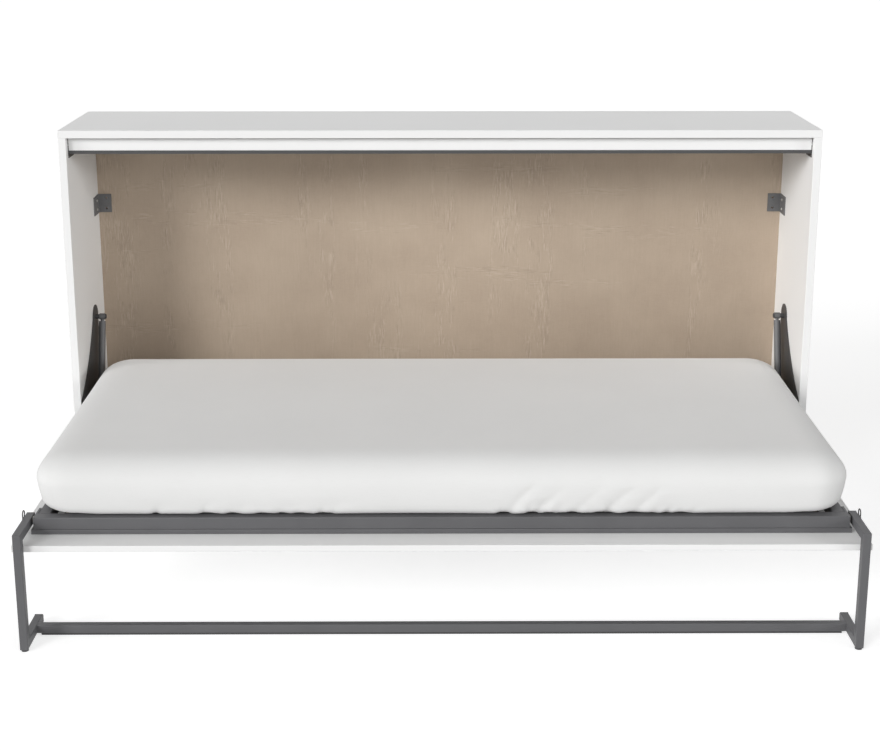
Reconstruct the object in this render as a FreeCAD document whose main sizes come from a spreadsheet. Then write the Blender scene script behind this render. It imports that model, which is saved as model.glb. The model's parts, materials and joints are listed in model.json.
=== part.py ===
import FreeCAD, Part
import math
import os

# Horizontal cabinet bed, open: a shallow wall cabinet whose front folds down to carry a single bed, which
# stands on a swinging leg frame.
# X runs along the cabinet, Y towards the wall, Z up. Every length is in millimetres.

SIZES = {
    # Mattress, which everything else is built round
    "mattress_length": 1986,
    "mattress_width": 900,
    "mattress_thickness": 148,
    "mattress_corner": 88,
    "mattress_top_round": 38,
    "mattress_bottom_round": 24,
    "mattress_crown": 7,
    "mattress_crown_width": 90,
    "soft_gap": 0.3,
    # Room between the mattress, the bed frame and the cabinet
    "mattress_end_gap": 2.5,
    "mattress_front_gap": 7,
    "side_room": 47.5,
    "shut_gap": 29.5,
    "stow_room": 13,
    # Cabinet
    "board": 22,
    "edge_round": 1.2,
    "foot_height": 4,
    "foot_radius": 10,
    "foot_inset": 40,
    "back_board": 10,
    "back_recess": 16,
    "wall_rail_height": 100,
    "dowel_radius": 4,
    "dowel_length": 30,
    # Fronts, which lie behind the edges of the cabinet
    "front_board": 16,
    "front_recess": 20,
    "front_gap": 2.5,
    "fascia_gap": 4,
    "fascia_height": 33,
    "apron_gap": 3,
    # Steel strip under the fascia, with its end brackets
    "sheet": 2,
    "strip_height": 9.5,
    "strip_depth": 40,
    "end_bracket_depth": 60,
    "end_bracket_drop": 12,
    "end_bracket_height": 34,
    "end_bracket_shelf": 30,
    # Angle brackets that hold the cabinet to the wall
    "angle_thickness": 3,
    "angle_depth": 68,
    "angle_width": 40,
    "angle_height": 56,
    "angle_drop": 227,
    "wall_hole_radius": 3.5,
    "wall_hole_spacing": 32,
    "wall_hole_inset": 25,
    # Screws
    "screw_radius": 2,
    "screw_head_radius": 4.5,
    "screw_head": 2.5,
    "screw_bite": 12,
    # Fold hinge of the bed
    "hinge_back": 10,
    "hinge_height": 242,
    "hinge_pin_radius": 5,
    "hinge_collar_radius": 8.5,
    "hinge_nose_radius": 9,
    "hinge_bush_wall": 1.5,
    "running": 0.05,
    "side_gap": 0.4,
    # Side plates of the folding mechanism; rises, drops and depths count from the hinge
    "plate": 2,
    "plate_head_radius": 36,
    "plate_foot_drop": 37,
    "plate_nose": 0.5,
    "plate_shoulder_rise": 123,
    "plate_waist_depth": 131,
    "plate_waist_rise": 230,
    "plate_screw_inset": 16,
    "plate_screw_pitch": 65,
    # Gas struts; their pins' places count from the hinge
    "strut_pin_depth": 230,
    "strut_pin_rise": 314,
    "strut_pin_radius": 4,
    "strut_pin_head": 3,
    "strut_pin_head_radius": 7,
    "strut_inset": 22.5,
    "strut_radius": 10,
    "strut_wall": 1.5,
    "strut_rod_radius": 5,
    "strut_rod_length": 24,
    "strut_eye_radius": 9.5,
    "strut_eye_width": 16,
    "strut_neck": 14,
    "strut_plug": 12,
    "strut_piston": 8,
    "lever_depth": 145,
    "lever_rise": 43,
    # Door panel, which is the closed front and lies under the open bed
    "door_overhang": 69,
    "door_rear_gap": 3,
    "door_slot_depth": 40,
    "door_slot_gap": 3,
    # Bed frame
    "frame_rear": 170,
    "frame_tube": 30,
    "frame_tube_height": 31,
    "tube_wall": 2,
    "tube_round": 2.5,
    "plug_length": 20,
    "beam_height": 13,
    "beam_depth": 40,
    "beam_end": 12.5,
    "cross_member_width": 30,
    "cross_member_height": 16,
    "cross_member_inset": 495.5,
    "fixing_strip_width": 60,
    "fixing_strip_rear": 45,
    "fixing_screw_offset": 22,
    "fixing_screw_front": 45,
    "fixing_screw_rear": 87,
    "hinge_arm": 6,
    "hinge_arm_front": 120,
    "hinge_arm_lift": 3,
    "hinge_arm_tail": 20,
    "hinge_neck": 36,
    "arm_bolt_radius": 4,
    "arm_bolt_head_radius": 6.5,
    "arm_bolt_head": 4,
    "arm_bolt_pitch": 65,
    "arm_bolt_inset": 18,
    # Slats
    "slat_width": 53,
    "slat_thickness": 8,
    "slat_margin": 38,
    "slat_end": 3,
    "holder_depth": 17,
    "holder_height": 14,
    "holder_width": 61,
    # Leg frame
    "leg_front_gap": 2,
    "leg_drop": 6,
    "leg_gap": 14,
    "leg_tube_width": 20,
    "leg_tube_depth": 22,
    "leg_round": 1.6,
    "upper_arm_length": 142,
    "foot_arm_length": 150,
    "crossbar_inset": 89,
    "pad_height": 5,
    "pad_inset": 2,
    "pad_end": 10,
    "glide_radius": 9,
    "glide_inset": 10,
    "cap_thickness": 2,
    "cap_chamfer": 5,
    # Leg pivots, with a pull bolt on each side
    "pivot_inset": 17,
    "pivot_bracket": 6,
    "pivot_bracket_width": 64,
    "pivot_bolt_radius": 5,
    "pivot_bush_wall": 3,
    "pivot_bolt_tip": 1,
    "pivot_head": 6,
    "pivot_head_radius": 6,
    "loop_radius": 9.5,
    "loop_wire": 1.5,
    "loop_rise": 13,
    "bracket_screw_offset": 24,
}

SIDES = (("left", -1), ("right", 1))
FEET_PER_SIDE = 3
DOWELS_PER_JOINT = 3
PLATE_SCREW_ROWS = 3
ARM_BOLTS = 3
SLAT_COUNT = 18
CROSS_MEMBERS = 3
FIXING_SCREW_ROWS = 3
ROUNDING_STEPS = 3
PARALLEL = 0.99
BOX_EDGES = {"z": (1, 3, 5, 7), "y": (2, 4, 6, 8), "x": (9, 10, 11, 12)}
TURNS = {
    "x": FreeCAD.Rotation(FreeCAD.Vector(0, 1, 0), 90),
    "y": FreeCAD.Rotation(FreeCAD.Vector(1, 0, 0), -90),
    "z": FreeCAD.Rotation(),
}

doc = FreeCAD.newDocument("cabinet_bed")
dims = doc.addObject("Spreadsheet::Sheet", "dims")
for row, (alias, value) in enumerate(SIZES.items(), 1):
    dims.set(f"A{row}", str(value))
    dims.setAlias(f"A{row}", alias)
doc.recompute()

# Places worked out from the sizes, across the part.
FRAME_HALF = "(dims.mattress_length / 2 + dims.mattress_end_gap)"
INNER = f"({FRAME_HALF} + dims.side_room)"
HALF_WIDTH = f"({INNER} + dims.board)"
FRONT_HALF = f"({INNER} - dims.front_gap)"
PLATE_INNER = f"({INNER} - dims.plate)"
STRUT_X = f"({INNER} - dims.strut_inset)"
BEAM_HALF = f"({FRAME_HALF} + dims.beam_end)"
ARM_OUTER = f"({FRAME_HALF} + dims.hinge_arm)"
BRACKET_OUTER = f"({FRAME_HALF} + dims.pivot_bracket)"
LEG_INNER = f"({FRAME_HALF} + dims.leg_gap)"
LEG_OUTER = f"({LEG_INNER} + dims.leg_tube_width)"

# Heights. The shut door stands above the hinge, and the cabinet's top is built over it.
DOOR_BOTTOM = "(dims.hinge_height + dims.front_recess - dims.hinge_back)"
DOOR_TOP = f"({DOOR_BOTTOM} + dims.front_board)"
BEAM_TOP = f"({DOOR_TOP} + dims.beam_height)"
FRAME_TOP = f"({BEAM_TOP} + dims.frame_tube_height)"
FRAME_MIDDLE = f"({BEAM_TOP} + dims.frame_tube_height / 2)"
LEG_TOP = f"({FRAME_TOP} - dims.leg_drop)"
PIVOT_Z = f"({LEG_TOP} - dims.leg_tube_depth / 2)"
LEVER_Z = "(dims.hinge_height + dims.lever_rise)"
STRUT_PIN_Z = "(dims.hinge_height + dims.strut_pin_rise)"
APRON_TOP = "(dims.hinge_height + dims.hinge_back - dims.apron_gap)"

# Depths, counted from the cabinet's front edges. The cabinet is as deep as the stowed leg frame needs.
MATTRESS_REACH = "(dims.mattress_width - dims.frame_rear)"
FRAME_REACH = f"({MATTRESS_REACH} + dims.mattress_front_gap)"
DOOR_REACH = f"({FRAME_REACH} + dims.door_overhang)"
LEG_REACH = f"({DOOR_REACH} + dims.leg_front_gap + dims.leg_tube_depth)"
BEAM_REAR = f"(dims.beam_depth - {FRAME_REACH})"
FRONT_RAIL_REAR = f"(dims.frame_tube - {FRAME_REACH})"
REAR_RAIL_FRONT = "(dims.frame_rear - dims.frame_tube)"
ARM_REAR = f"(dims.upper_arm_length - {LEG_REACH})"
FOOT_REAR = f"(dims.foot_arm_length - {LEG_REACH})"
PIVOT_Y = f"({ARM_REAR} - dims.pivot_inset)"
LEVER_Y = "(dims.hinge_back + dims.lever_depth)"
STRUT_PIN_Y = "(dims.hinge_back + dims.strut_pin_depth)"
PLATE_REAR = f"({STRUT_PIN_Y} + dims.plate_head_radius)"
FRONTS = ("dims.front_recess", "dims.front_recess + dims.front_board")
STOWED_REACH = f"(2 * {PIVOT_Z} - dims.hinge_height + dims.hinge_back)"
BACK_FACE = f"({STOWED_REACH} + dims.stow_room + dims.angle_thickness)"
BACK_REAR = f"({BACK_FACE} + dims.back_board)"
DEPTH = f"({BACK_REAR} + dims.back_recess)"

# Heights at the cabinet's top.
STRIP_BOTTOM = f"(dims.hinge_height + dims.hinge_back + {DOOR_REACH} + dims.shut_gap)"
END_BRACKET_BOTTOM = f"({STRIP_BOTTOM} - dims.end_bracket_drop)"
FASCIA_BOTTOM = f"({STRIP_BOTTOM} + dims.strip_height)"
FASCIA_TOP = f"({FASCIA_BOTTOM} + dims.fascia_height)"
TOP_UNDERSIDE = f"({FASCIA_TOP} + dims.fascia_gap)"
ANGLE_LOW = f"({TOP_UNDERSIDE} - dims.angle_drop - dims.angle_height)"
ANGLE_MIDDLE = f"({ANGLE_LOW} + dims.angle_height / 2)"

# Lengths that follow from those places.
STRUT_FORWARD = "(dims.strut_pin_depth - dims.lever_depth)"
STRUT_DOWN = "(dims.strut_pin_rise - dims.lever_rise)"
STRUT_LENGTH = f"sqrt({STRUT_FORWARD} ^ 2 + {STRUT_DOWN} ^ 2)"
STRUT_BODY_END = f"({STRUT_LENGTH} - dims.strut_rod_length)"
SLAT_ROOM = f"(2 * {FRAME_HALF} - 2 * dims.frame_tube - 2 * dims.slat_margin - dims.slat_width)"
SLAT_PITCH = f"({SLAT_ROOM} / {SLAT_COUNT - 1})"
CROSS_MEMBER_PITCH = f"(2 * ({FRAME_HALF} - dims.cross_member_inset) / {CROSS_MEMBERS - 1})"
FIXING_STRIP_LENGTH = f"(-dims.fixing_strip_rear - {BEAM_REAR})"
FIXING_SCREW_ROOM = f"({FIXING_STRIP_LENGTH} - dims.fixing_screw_front - dims.fixing_screw_rear)"
FIXING_SCREW_PITCH = f"({FIXING_SCREW_ROOM} / {FIXING_SCREW_ROWS - 1})"
PIVOT_HOLE = "(dims.pivot_bolt_radius + dims.running)"

# The part's origin is the middle of the floor under the open bed. FRONT is where the cabinet's front lies.
FRONT = f"(({LEG_REACH} - {DEPTH}) / 2)"


def number(expression):
    """The value of an expression over the sheet."""
    return float(dims.evalExpression(expression))


def mirrored(sign, inner, outer):
    """The low and high X of a piece that lies between inner and outer on one side."""
    if sign > 0:
        return inner, outer
    return f"-({outer})", f"-({inner})"


def centred(half):
    """The low and high X of a piece across the middle."""
    return f"-({half})", half


def about(middle, width):
    """The low and high place of a piece of a width, on either side of a middle."""
    return f"{middle} - {width} / 2", f"{middle} + {width} / 2"


def upward(low, height):
    """The low and high place of a piece that starts at low."""
    return low, f"{low} + {height}"


def block(label, x, y, z):
    """A box between two expressions on each axis."""
    item = doc.addObject("Part::Box", label)
    for size, (low, high) in zip(("Length", "Width", "Height"), (x, y, z)):
        item.setExpression(size, f"({high}) - ({low})")
    item.setExpression("Placement.Base.x", x[0])
    item.setExpression("Placement.Base.y", f"{FRONT} + ({y[0]})")
    item.setExpression("Placement.Base.z", z[0])
    return item


def turned(kind, label, axis, places):
    """A primitive whose own axis lies along the given one, with its base at the named places."""
    item = doc.addObject(kind, label)
    item.Placement = FreeCAD.Placement(FreeCAD.Vector(), TURNS[axis])
    item.setExpression("Placement.Base.x", places["x"])
    item.setExpression("Placement.Base.y", f"{FRONT} + ({places['y']})")
    item.setExpression("Placement.Base.z", places["z"])
    return item


def rod(label, axis, radius, span, across):
    """A cylinder along axis over span, centred on the two places of across on the other axes."""
    places = dict(zip([name for name in "xyz" if name != axis], across))
    places[axis] = span[0]
    item = turned("Part::Cylinder", label, axis, places)
    item.setExpression("Radius", radius)
    item.setExpression("Height", f"({span[1]}) - ({span[0]})")
    return item


def cut(label, base, tool):
    item = doc.addObject("Part::Cut", label)
    item.Base = base
    item.Tool = tool
    return item


def fuse(label, items):
    item = doc.addObject("Part::MultiFuse", label)
    item.Shapes = items
    return item


def group(label, items):
    """Separate solids that share one node."""
    item = doc.addObject("Part::Compound", label)
    item.Links = items
    return item


def rounded(label, item, radius, along):
    """A block with the edges that run along the named axes rounded."""
    fillet = doc.addObject("Part::Fillet", label)
    fillet.Base = item
    size = number(radius)
    fillet.Edges = [(edge, size, size) for axis in along for edge in BOX_EDGES[axis]]
    return fillet


def board(label, x, y, z):
    """A melamine-faced board with softened edges."""
    return rounded(label, block(label + "_block", x, y, z), "dims.edge_round", "xyz")


def rail(label, x, y, z, along):
    """A hollow tube along one axis, open at its ends."""
    outer = rounded(label + "_outer", block(label + "_block", x, y, z), "dims.tube_round", along)
    spans = dict(zip("xyz", (x, y, z)))
    for axis in "xyz":
        if axis != along:
            low, high = spans[axis]
            spans[axis] = (f"({low}) + dims.tube_wall", f"({high}) - dims.tube_wall")
    hollow = block(label + "_hollow", spans["x"], spans["y"], spans["z"])
    return cut(label, outer, hollow)


def outline_face(outline):
    """The face in the YZ plane inside an outline. A pair of points is an arc through one to the other."""
    shift = number(FRONT)
    edges = []
    last = outline[0]
    for entry in outline[1:] + outline[:1]:
        stops = entry if isinstance(entry[0], tuple) else (entry,)
        points = [FreeCAD.Vector(0, y + shift, z) for y, z in (last,) + tuple(stops)]
        curve = Part.Arc(*points) if len(points) == 3 else Part.LineSegment(*points)
        edges.append(curve.toShape())
        last = stops[-1]
    return Part.Face(Part.Wire(edges))


def prism(label, outline, x, round_along=None):
    """A solid between two places in X, whose outline lies in the YZ plane."""
    low, high = number(x[0]), number(x[1])
    shape = outline_face(outline).extrude(FreeCAD.Vector(high - low, 0, 0))
    if round_along:
        direction = FreeCAD.Vector(*(float(axis == round_along) for axis in "xyz"))
        edges = [edge for edge in shape.Edges
                 if abs(edge.tangentAt(edge.FirstParameter).dot(direction)) > PARALLEL]
        shape = shape.makeFillet(number("dims.leg_round"), edges)
    item = doc.addObject("Part::Feature", label)
    item.Shape = shape
    item.Placement = FreeCAD.Placement(FreeCAD.Vector(low, 0, 0), FreeCAD.Rotation())
    return item


def side_screw(label, sign, surface, y, z):
    """A screw through a fitting's surface into the cabinet's side board."""
    head = rod(label + "_head", "x", "dims.screw_head_radius",
               mirrored(sign, f"{surface} - dims.screw_head", surface), (y, z))
    shank = rod(label + "_shank", "x", "dims.screw_radius",
                mirrored(sign, surface, f"{INNER} + dims.screw_bite"), (y, z))
    return fuse(label, [head, shank])


def make_dowels():
    """Wooden dowels between the side boards and the top and floor boards."""
    dowels = []
    for name, sign in SIDES:
        for i in range(DOWELS_PER_JOINT):
            y = f"{DEPTH} * {(i + 0.5) / DOWELS_PER_JOINT}"
            dowels.append(rod(f"top_dowel_{name}_{i}", "z", "dims.dowel_radius",
                              about(TOP_UNDERSIDE, "dims.dowel_length"),
                              (f"{sign} * ({HALF_WIDTH} - dims.board / 2)", y)))
            dowels.append(rod(f"floor_dowel_{name}_{i}", "x", "dims.dowel_radius",
                              mirrored(sign, *about(INNER, "dims.dowel_length")),
                              (y, "dims.foot_height + dims.board / 2")))
    return group("dowels", dowels)


def make_cabinet_screws():
    """The screws that hold the side plates, wall angles and strip brackets to the side boards."""
    screws = []
    for name, sign in SIDES:
        for i in range(PLATE_SCREW_ROWS):
            z = (f"dims.hinge_height - dims.plate_foot_drop + dims.plate_screw_inset"
                 f" + {i} * dims.plate_screw_pitch")
            screws.append(side_screw(f"plate_front_screw_{name}_{i}", sign, PLATE_INNER,
                                     f"{FRONTS[1]} + dims.plate_screw_inset", z))
            screws.append(side_screw(f"plate_rear_screw_{name}_{i}", sign, PLATE_INNER,
                                     f"{PLATE_REAR} - dims.plate_screw_inset", z))
        for i, share in enumerate((0.25, 0.75)):
            screws.append(side_screw(f"angle_screw_{name}_{i}", sign, f"({INNER} - dims.angle_thickness)",
                                     f"{BACK_FACE} - dims.angle_depth / 2",
                                     f"{ANGLE_LOW} + dims.angle_height * {share}"))
            screws.append(side_screw(f"strip_screw_{name}_{i}", sign, f"({INNER} - dims.sheet)",
                                     "dims.front_recess + dims.end_bracket_depth - dims.screw_head_radius",
                                     f"{END_BRACKET_BOTTOM} + dims.end_bracket_height * {share}"))
    return group("cabinet_screws", screws)


def make_wall_holes():
    """Bores for the wall fixings, through the angle, the back panel and the rail behind it."""
    holes = []
    for name, sign in SIDES:
        for i, step in enumerate((-0.5, 0.5)):
            holes.append(rod(f"wall_hole_{name}_{i}", "y", "dims.wall_hole_radius",
                             (f"{BACK_FACE} - dims.angle_depth", DEPTH),
                             (f"{sign} * ({INNER} - dims.wall_hole_inset)",
                              f"{ANGLE_MIDDLE} + dims.wall_hole_spacing * {step}")))
    return group("wall_holes", holes)


def make_carcass(dowels, screws, pins, wall_holes):
    """The boards of the cabinet."""
    depth = ("0", DEPTH)
    sides_z = ("dims.foot_height", TOP_UNDERSIDE)
    top = board("top_board", centred(HALF_WIDTH), depth, upward(TOP_UNDERSIDE, "dims.board"))
    nodes = [cut("top_panel", top, dowels)]
    bores = group("side_bores", [dowels, screws] + pins)
    for name, sign in SIDES:
        side = board(f"side_board_{name}", mirrored(sign, INNER, HALF_WIDTH), depth, sides_z)
        nodes.append(cut(f"side_panel_{name}", side, bores))
    floor = board("floor_board", centred(INNER), (FRONTS[1], BACK_FACE),
                  upward("dims.foot_height", "dims.board"))
    nodes.append(cut("floor_panel", floor, dowels))
    back = block("back_board", centred(INNER), (BACK_FACE, BACK_REAR), sides_z)
    nodes.append(cut("back_panel", back, wall_holes))
    behind = (BACK_REAR, DEPTH)
    upper = block("upper_rail_block", centred(INNER), behind, about(ANGLE_MIDDLE, "dims.wall_rail_height"))
    nodes.append(cut("wall_rail_upper", upper, wall_holes))
    nodes.append(block("wall_rail_lower", centred(INNER), behind,
                       upward("dims.foot_height", "dims.wall_rail_height")))
    nodes.append(board("apron_panel", centred(PLATE_INNER), FRONTS, ("dims.foot_height", APRON_TOP)))
    nodes.append(board("fascia_panel", centred(FRONT_HALF), FRONTS, (FASCIA_BOTTOM, FASCIA_TOP)))
    feet = []
    for name, sign in SIDES:
        for i in range(FEET_PER_SIDE):
            share = i / (FEET_PER_SIDE - 1)
            y = f"dims.foot_inset + ({DEPTH} - 2 * dims.foot_inset) * {share}"
            x = f"{sign} * ({HALF_WIDTH} - dims.board / 2)"
            feet.append(rod(f"foot_{name}_{i}", "z", "dims.foot_radius", upward("0", "dims.foot_height"),
                            (x, y)))
    nodes.append(group("levelling_feet", feet))
    return nodes


def make_strip(screws):
    """The steel angle that carries the fascia, and the bracket at each of its ends."""
    back = "dims.front_recess + dims.strip_depth"
    half = f"({INNER} - dims.sheet)"
    shelf_top = f"{FASCIA_BOTTOM} - dims.sheet"
    flange = block("strip_flange", centred(half), ("dims.front_recess", back), (shelf_top, FASCIA_BOTTOM))
    behind_lip = "dims.front_recess + dims.sheet"
    lip = block("strip_lip", centred(half), ("dims.front_recess", behind_lip), (STRIP_BOTTOM, shelf_top))
    brackets = []
    for name, sign in SIDES:
        cheek = block(f"bracket_cheek_{name}", mirrored(sign, half, INNER),
                      upward(behind_lip, "dims.end_bracket_depth"),
                      upward(END_BRACKET_BOTTOM, "dims.end_bracket_height"))
        shelf = block(f"bracket_shelf_{name}", mirrored(sign, f"{half} - dims.end_bracket_shelf", half),
                      (behind_lip, back), (f"{shelf_top} - dims.sheet", shelf_top))
        brackets.append(fuse(f"bracket_{name}", [cheek, shelf]))
    return [fuse("fascia_strip", [flange, lip]),
            cut("strip_end_brackets", group("bracket_pair", brackets), screws)]


def make_wall_brackets(screws, wall_holes):
    """The angles in the upper rear corners, screwed to the sides and bolted through the back."""
    nodes = []
    height = upward(ANGLE_LOW, "dims.angle_height")
    for name, sign in SIDES:
        side_leg = block(f"angle_side_{name}", mirrored(sign, f"{INNER} - dims.angle_thickness", INNER),
                         (f"{BACK_FACE} - dims.angle_depth", BACK_FACE), height)
        back_leg = block(f"angle_back_{name}", mirrored(sign, f"{INNER} - dims.angle_width", INNER),
                         (f"{BACK_FACE} - dims.angle_thickness", BACK_FACE), height)
        angle = cut(f"angle_drilled_{name}", fuse(f"angle_{name}", [side_leg, back_leg]), screws)
        nodes.append(cut(f"wall_bracket_{name}", angle, wall_holes))
    return nodes


def plate_outline():
    """A side plate: straight at the foot, swept back at the front, and round about the strut's pin."""
    back, height = number(STRUT_PIN_Y), number(STRUT_PIN_Z)
    radius, nose = number("dims.plate_head_radius"), number("dims.plate_nose")
    foot = number("dims.hinge_height - dims.plate_foot_drop")
    shoulder = number("dims.hinge_height + dims.plate_shoulder_rise")
    waist = (number("dims.hinge_back + dims.plate_waist_depth"),
             number("dims.hinge_height + dims.plate_waist_rise"))
    return [
        (back + radius, foot),
        (nose, foot),
        (nose, shoulder),
        (waist, (back - radius, height)),
        ((back, height + radius), (back + radius, height)),
    ]


def make_hinge_pin(name, sign):
    """The pin that the bed folds on, with the collar that spaces the bed's arm from the side plate."""
    centre = ("dims.hinge_back", "dims.hinge_height")
    shaft = rod(f"hinge_shaft_{name}", "x", "dims.hinge_pin_radius",
                mirrored(sign, f"{FRAME_HALF} - dims.pivot_bolt_tip", f"{INNER} + dims.screw_bite"), centre)
    collar = rod(f"hinge_collar_{name}", "x", "dims.hinge_collar_radius",
                 mirrored(sign, f"{ARM_OUTER} + dims.side_gap", PLATE_INNER), centre)
    return fuse(f"hinge_pin_{name}", [shaft, collar])


def make_strut_pin(name, sign):
    """The pin on the side plate that the gas strut hangs from."""
    centre = (STRUT_PIN_Y, STRUT_PIN_Z)
    room = "(dims.strut_eye_width + 2 * dims.side_gap)"
    eye_inner, eye_outer = (f"({face})" for face in about(STRUT_X, room))
    shaft = rod(f"strut_shaft_{name}", "x", "dims.strut_pin_radius",
                mirrored(sign, eye_inner, f"{INNER} + dims.screw_bite"), centre)
    head = rod(f"strut_pin_head_{name}", "x", "dims.strut_pin_head_radius",
               mirrored(sign, f"{eye_inner} - dims.strut_pin_head", eye_inner), centre)
    collar = rod(f"strut_pin_collar_{name}", "x", "dims.strut_pin_head_radius",
                 mirrored(sign, eye_outer, PLATE_INNER), centre)
    return fuse(f"strut_pin_{name}", [shaft, head, collar])


def along_strut(label, sign, radius, start, end):
    """A cylinder on the strut's axis, between two distances from its upper eye."""
    lean = math.degrees(math.atan2(number(STRUT_FORWARD), number(STRUT_DOWN)))
    turn = FreeCAD.Rotation(FreeCAD.Vector(1, 0, 0), 180 - lean)
    item = doc.addObject("Part::Cylinder", label)
    item.setExpression("Radius", radius)
    item.setExpression("Height", f"({end}) - ({start})")
    eye = FreeCAD.Vector(sign * number(STRUT_X), number(f"{FRONT} + {STRUT_PIN_Y}"), number(STRUT_PIN_Z))
    item.Placement = FreeCAD.Placement(eye + turn.multVec(FreeCAD.Vector(0, 0, number(start))), turn)
    return item


def make_strut(name, sign):
    """A gas strut: its cylinder with the upper eye, and its piston rod with the lower eye and stub pin."""
    eye_span = mirrored(sign, *about(STRUT_X, "dims.strut_eye_width"))
    top = (STRUT_PIN_Y, STRUT_PIN_Z)
    bore = "(dims.strut_radius - dims.strut_wall)"
    solid = fuse(f"strut_solid_{name}", [
        rod(f"strut_top_eye_{name}", "x", "dims.strut_eye_radius", eye_span, top),
        along_strut(f"strut_neck_{name}", sign, "dims.strut_rod_radius", "0", "dims.strut_neck"),
        along_strut(f"strut_shell_{name}", sign, "dims.strut_radius", "dims.strut_neck", STRUT_BODY_END),
    ])
    spaces = group(f"strut_spaces_{name}", [
        rod(f"strut_eye_hole_{name}", "x", "dims.strut_pin_radius + dims.running", eye_span, top),
        along_strut(f"strut_bore_{name}", sign, bore,
                    "dims.strut_neck + dims.strut_wall", f"{STRUT_BODY_END} - dims.strut_plug"),
        along_strut(f"strut_guide_{name}", sign, "dims.strut_rod_radius + dims.running",
                    f"{STRUT_BODY_END} - dims.strut_plug - dims.strut_wall",
                    f"{STRUT_BODY_END} + dims.strut_wall"),
    ])
    piston_start = "(dims.strut_neck + dims.strut_piston)"
    low = (LEVER_Y, LEVER_Z)
    stub_inner = f"{ARM_OUTER} + dims.side_gap"
    stub_outer = f"{STRUT_X} + dims.strut_eye_width / 2 + dims.strut_pin_head"
    parts = [
        along_strut(f"strut_piston_{name}", sign, f"{bore} - dims.running",
                    *upward(piston_start, "dims.strut_piston")),
        along_strut(f"strut_stem_{name}", sign, "dims.strut_rod_radius", piston_start, STRUT_LENGTH),
        rod(f"strut_low_eye_{name}", "x", "dims.strut_eye_radius", eye_span, low),
        rod(f"strut_stub_{name}", "x", "dims.strut_pin_radius",
            mirrored(sign, stub_inner, stub_outer), low),
        rod(f"strut_cap_{name}", "x", "dims.strut_pin_head_radius",
            mirrored(sign, f"{STRUT_X} + dims.strut_eye_width / 2", stub_outer), low),
    ]
    return [cut(f"strut_cylinder_{name}", solid, spaces), fuse(f"strut_rod_{name}", parts)]


def make_mechanism(screws, hinge_pins, strut_pins):
    """The side plates with their pins, and the struts that hang from them."""
    nodes = []
    bores = group("plate_bores", [screws] + hinge_pins + strut_pins)
    for name, sign in SIDES:
        plate = prism(f"plate_blank_{name}", plate_outline(), mirrored(sign, PLATE_INNER, INNER))
        nodes.append(cut(f"mechanism_plate_{name}", plate, bores))
        nodes += make_strut(name, sign)
    return nodes + hinge_pins + strut_pins


def hinge_arm_outline():
    """A bed arm: a bar along the frame, a neck down to the fold hinge and a tail for the strut."""
    y, z, radius = number("dims.hinge_back"), number("dims.hinge_height"), number("dims.hinge_nose_radius")
    low, high = number(f"{DOOR_TOP} + dims.hinge_arm_lift"), number(FRAME_TOP)
    neck_rear = y - number("dims.front_recess") / 2
    slope = radius * math.sqrt(0.5)
    tail = number(f"{LEVER_Y} + dims.hinge_arm_tail")
    return [
        (-number("dims.hinge_arm_front"), low),
        (-number("dims.hinge_neck"), low),
        (y - slope, z - slope),
        ((y + slope, z - slope), (y, z + radius)),
        (neck_rear, number(DOOR_BOTTOM)),
        (neck_rear, low),
        (tail, low),
        (tail, high),
        (-number("dims.hinge_arm_front"), high),
    ]


def make_frame_bolts():
    """Bolts of the hinge arms, and screws of the leg pivots' brackets, all into the sides of the frame."""
    bolts = []
    for name, sign in SIDES:
        for i in range(ARM_BOLTS):
            y = f"{i} * dims.arm_bolt_pitch + dims.arm_bolt_inset - dims.hinge_arm_front"
            centre = (y, FRAME_MIDDLE)
            head = rod(f"arm_bolt_head_{name}_{i}", "x", "dims.arm_bolt_head_radius",
                       mirrored(sign, ARM_OUTER, f"{ARM_OUTER} + dims.arm_bolt_head"), centre)
            shank = rod(f"arm_bolt_shank_{name}_{i}", "x", "dims.arm_bolt_radius",
                        mirrored(sign, f"{FRAME_HALF} - dims.screw_bite", ARM_OUTER), centre)
            bolts.append(fuse(f"arm_bolt_{name}_{i}", [head, shank]))
        for i, step in enumerate((-1, 1)):
            centre = (f"{PIVOT_Y} + {step} * dims.bracket_screw_offset", FRAME_MIDDLE)
            head = rod(f"bracket_screw_head_{name}_{i}", "x", "dims.screw_head_radius",
                       mirrored(sign, BRACKET_OUTER, f"{BRACKET_OUTER} + dims.screw_head"), centre)
            shank = rod(f"bracket_screw_shank_{name}_{i}", "x", "dims.screw_radius",
                        mirrored(sign, f"{FRAME_HALF} - dims.screw_bite", BRACKET_OUTER), centre)
            bolts.append(fuse(f"bracket_screw_{name}_{i}", [head, shank]))
    return group("frame_bolts", bolts)


def cross_member_middles():
    """Where each cross member lies along the bed."""
    return [f"{i - (CROSS_MEMBERS - 1) / 2} * {CROSS_MEMBER_PITCH}" for i in range(CROSS_MEMBERS)]


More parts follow.
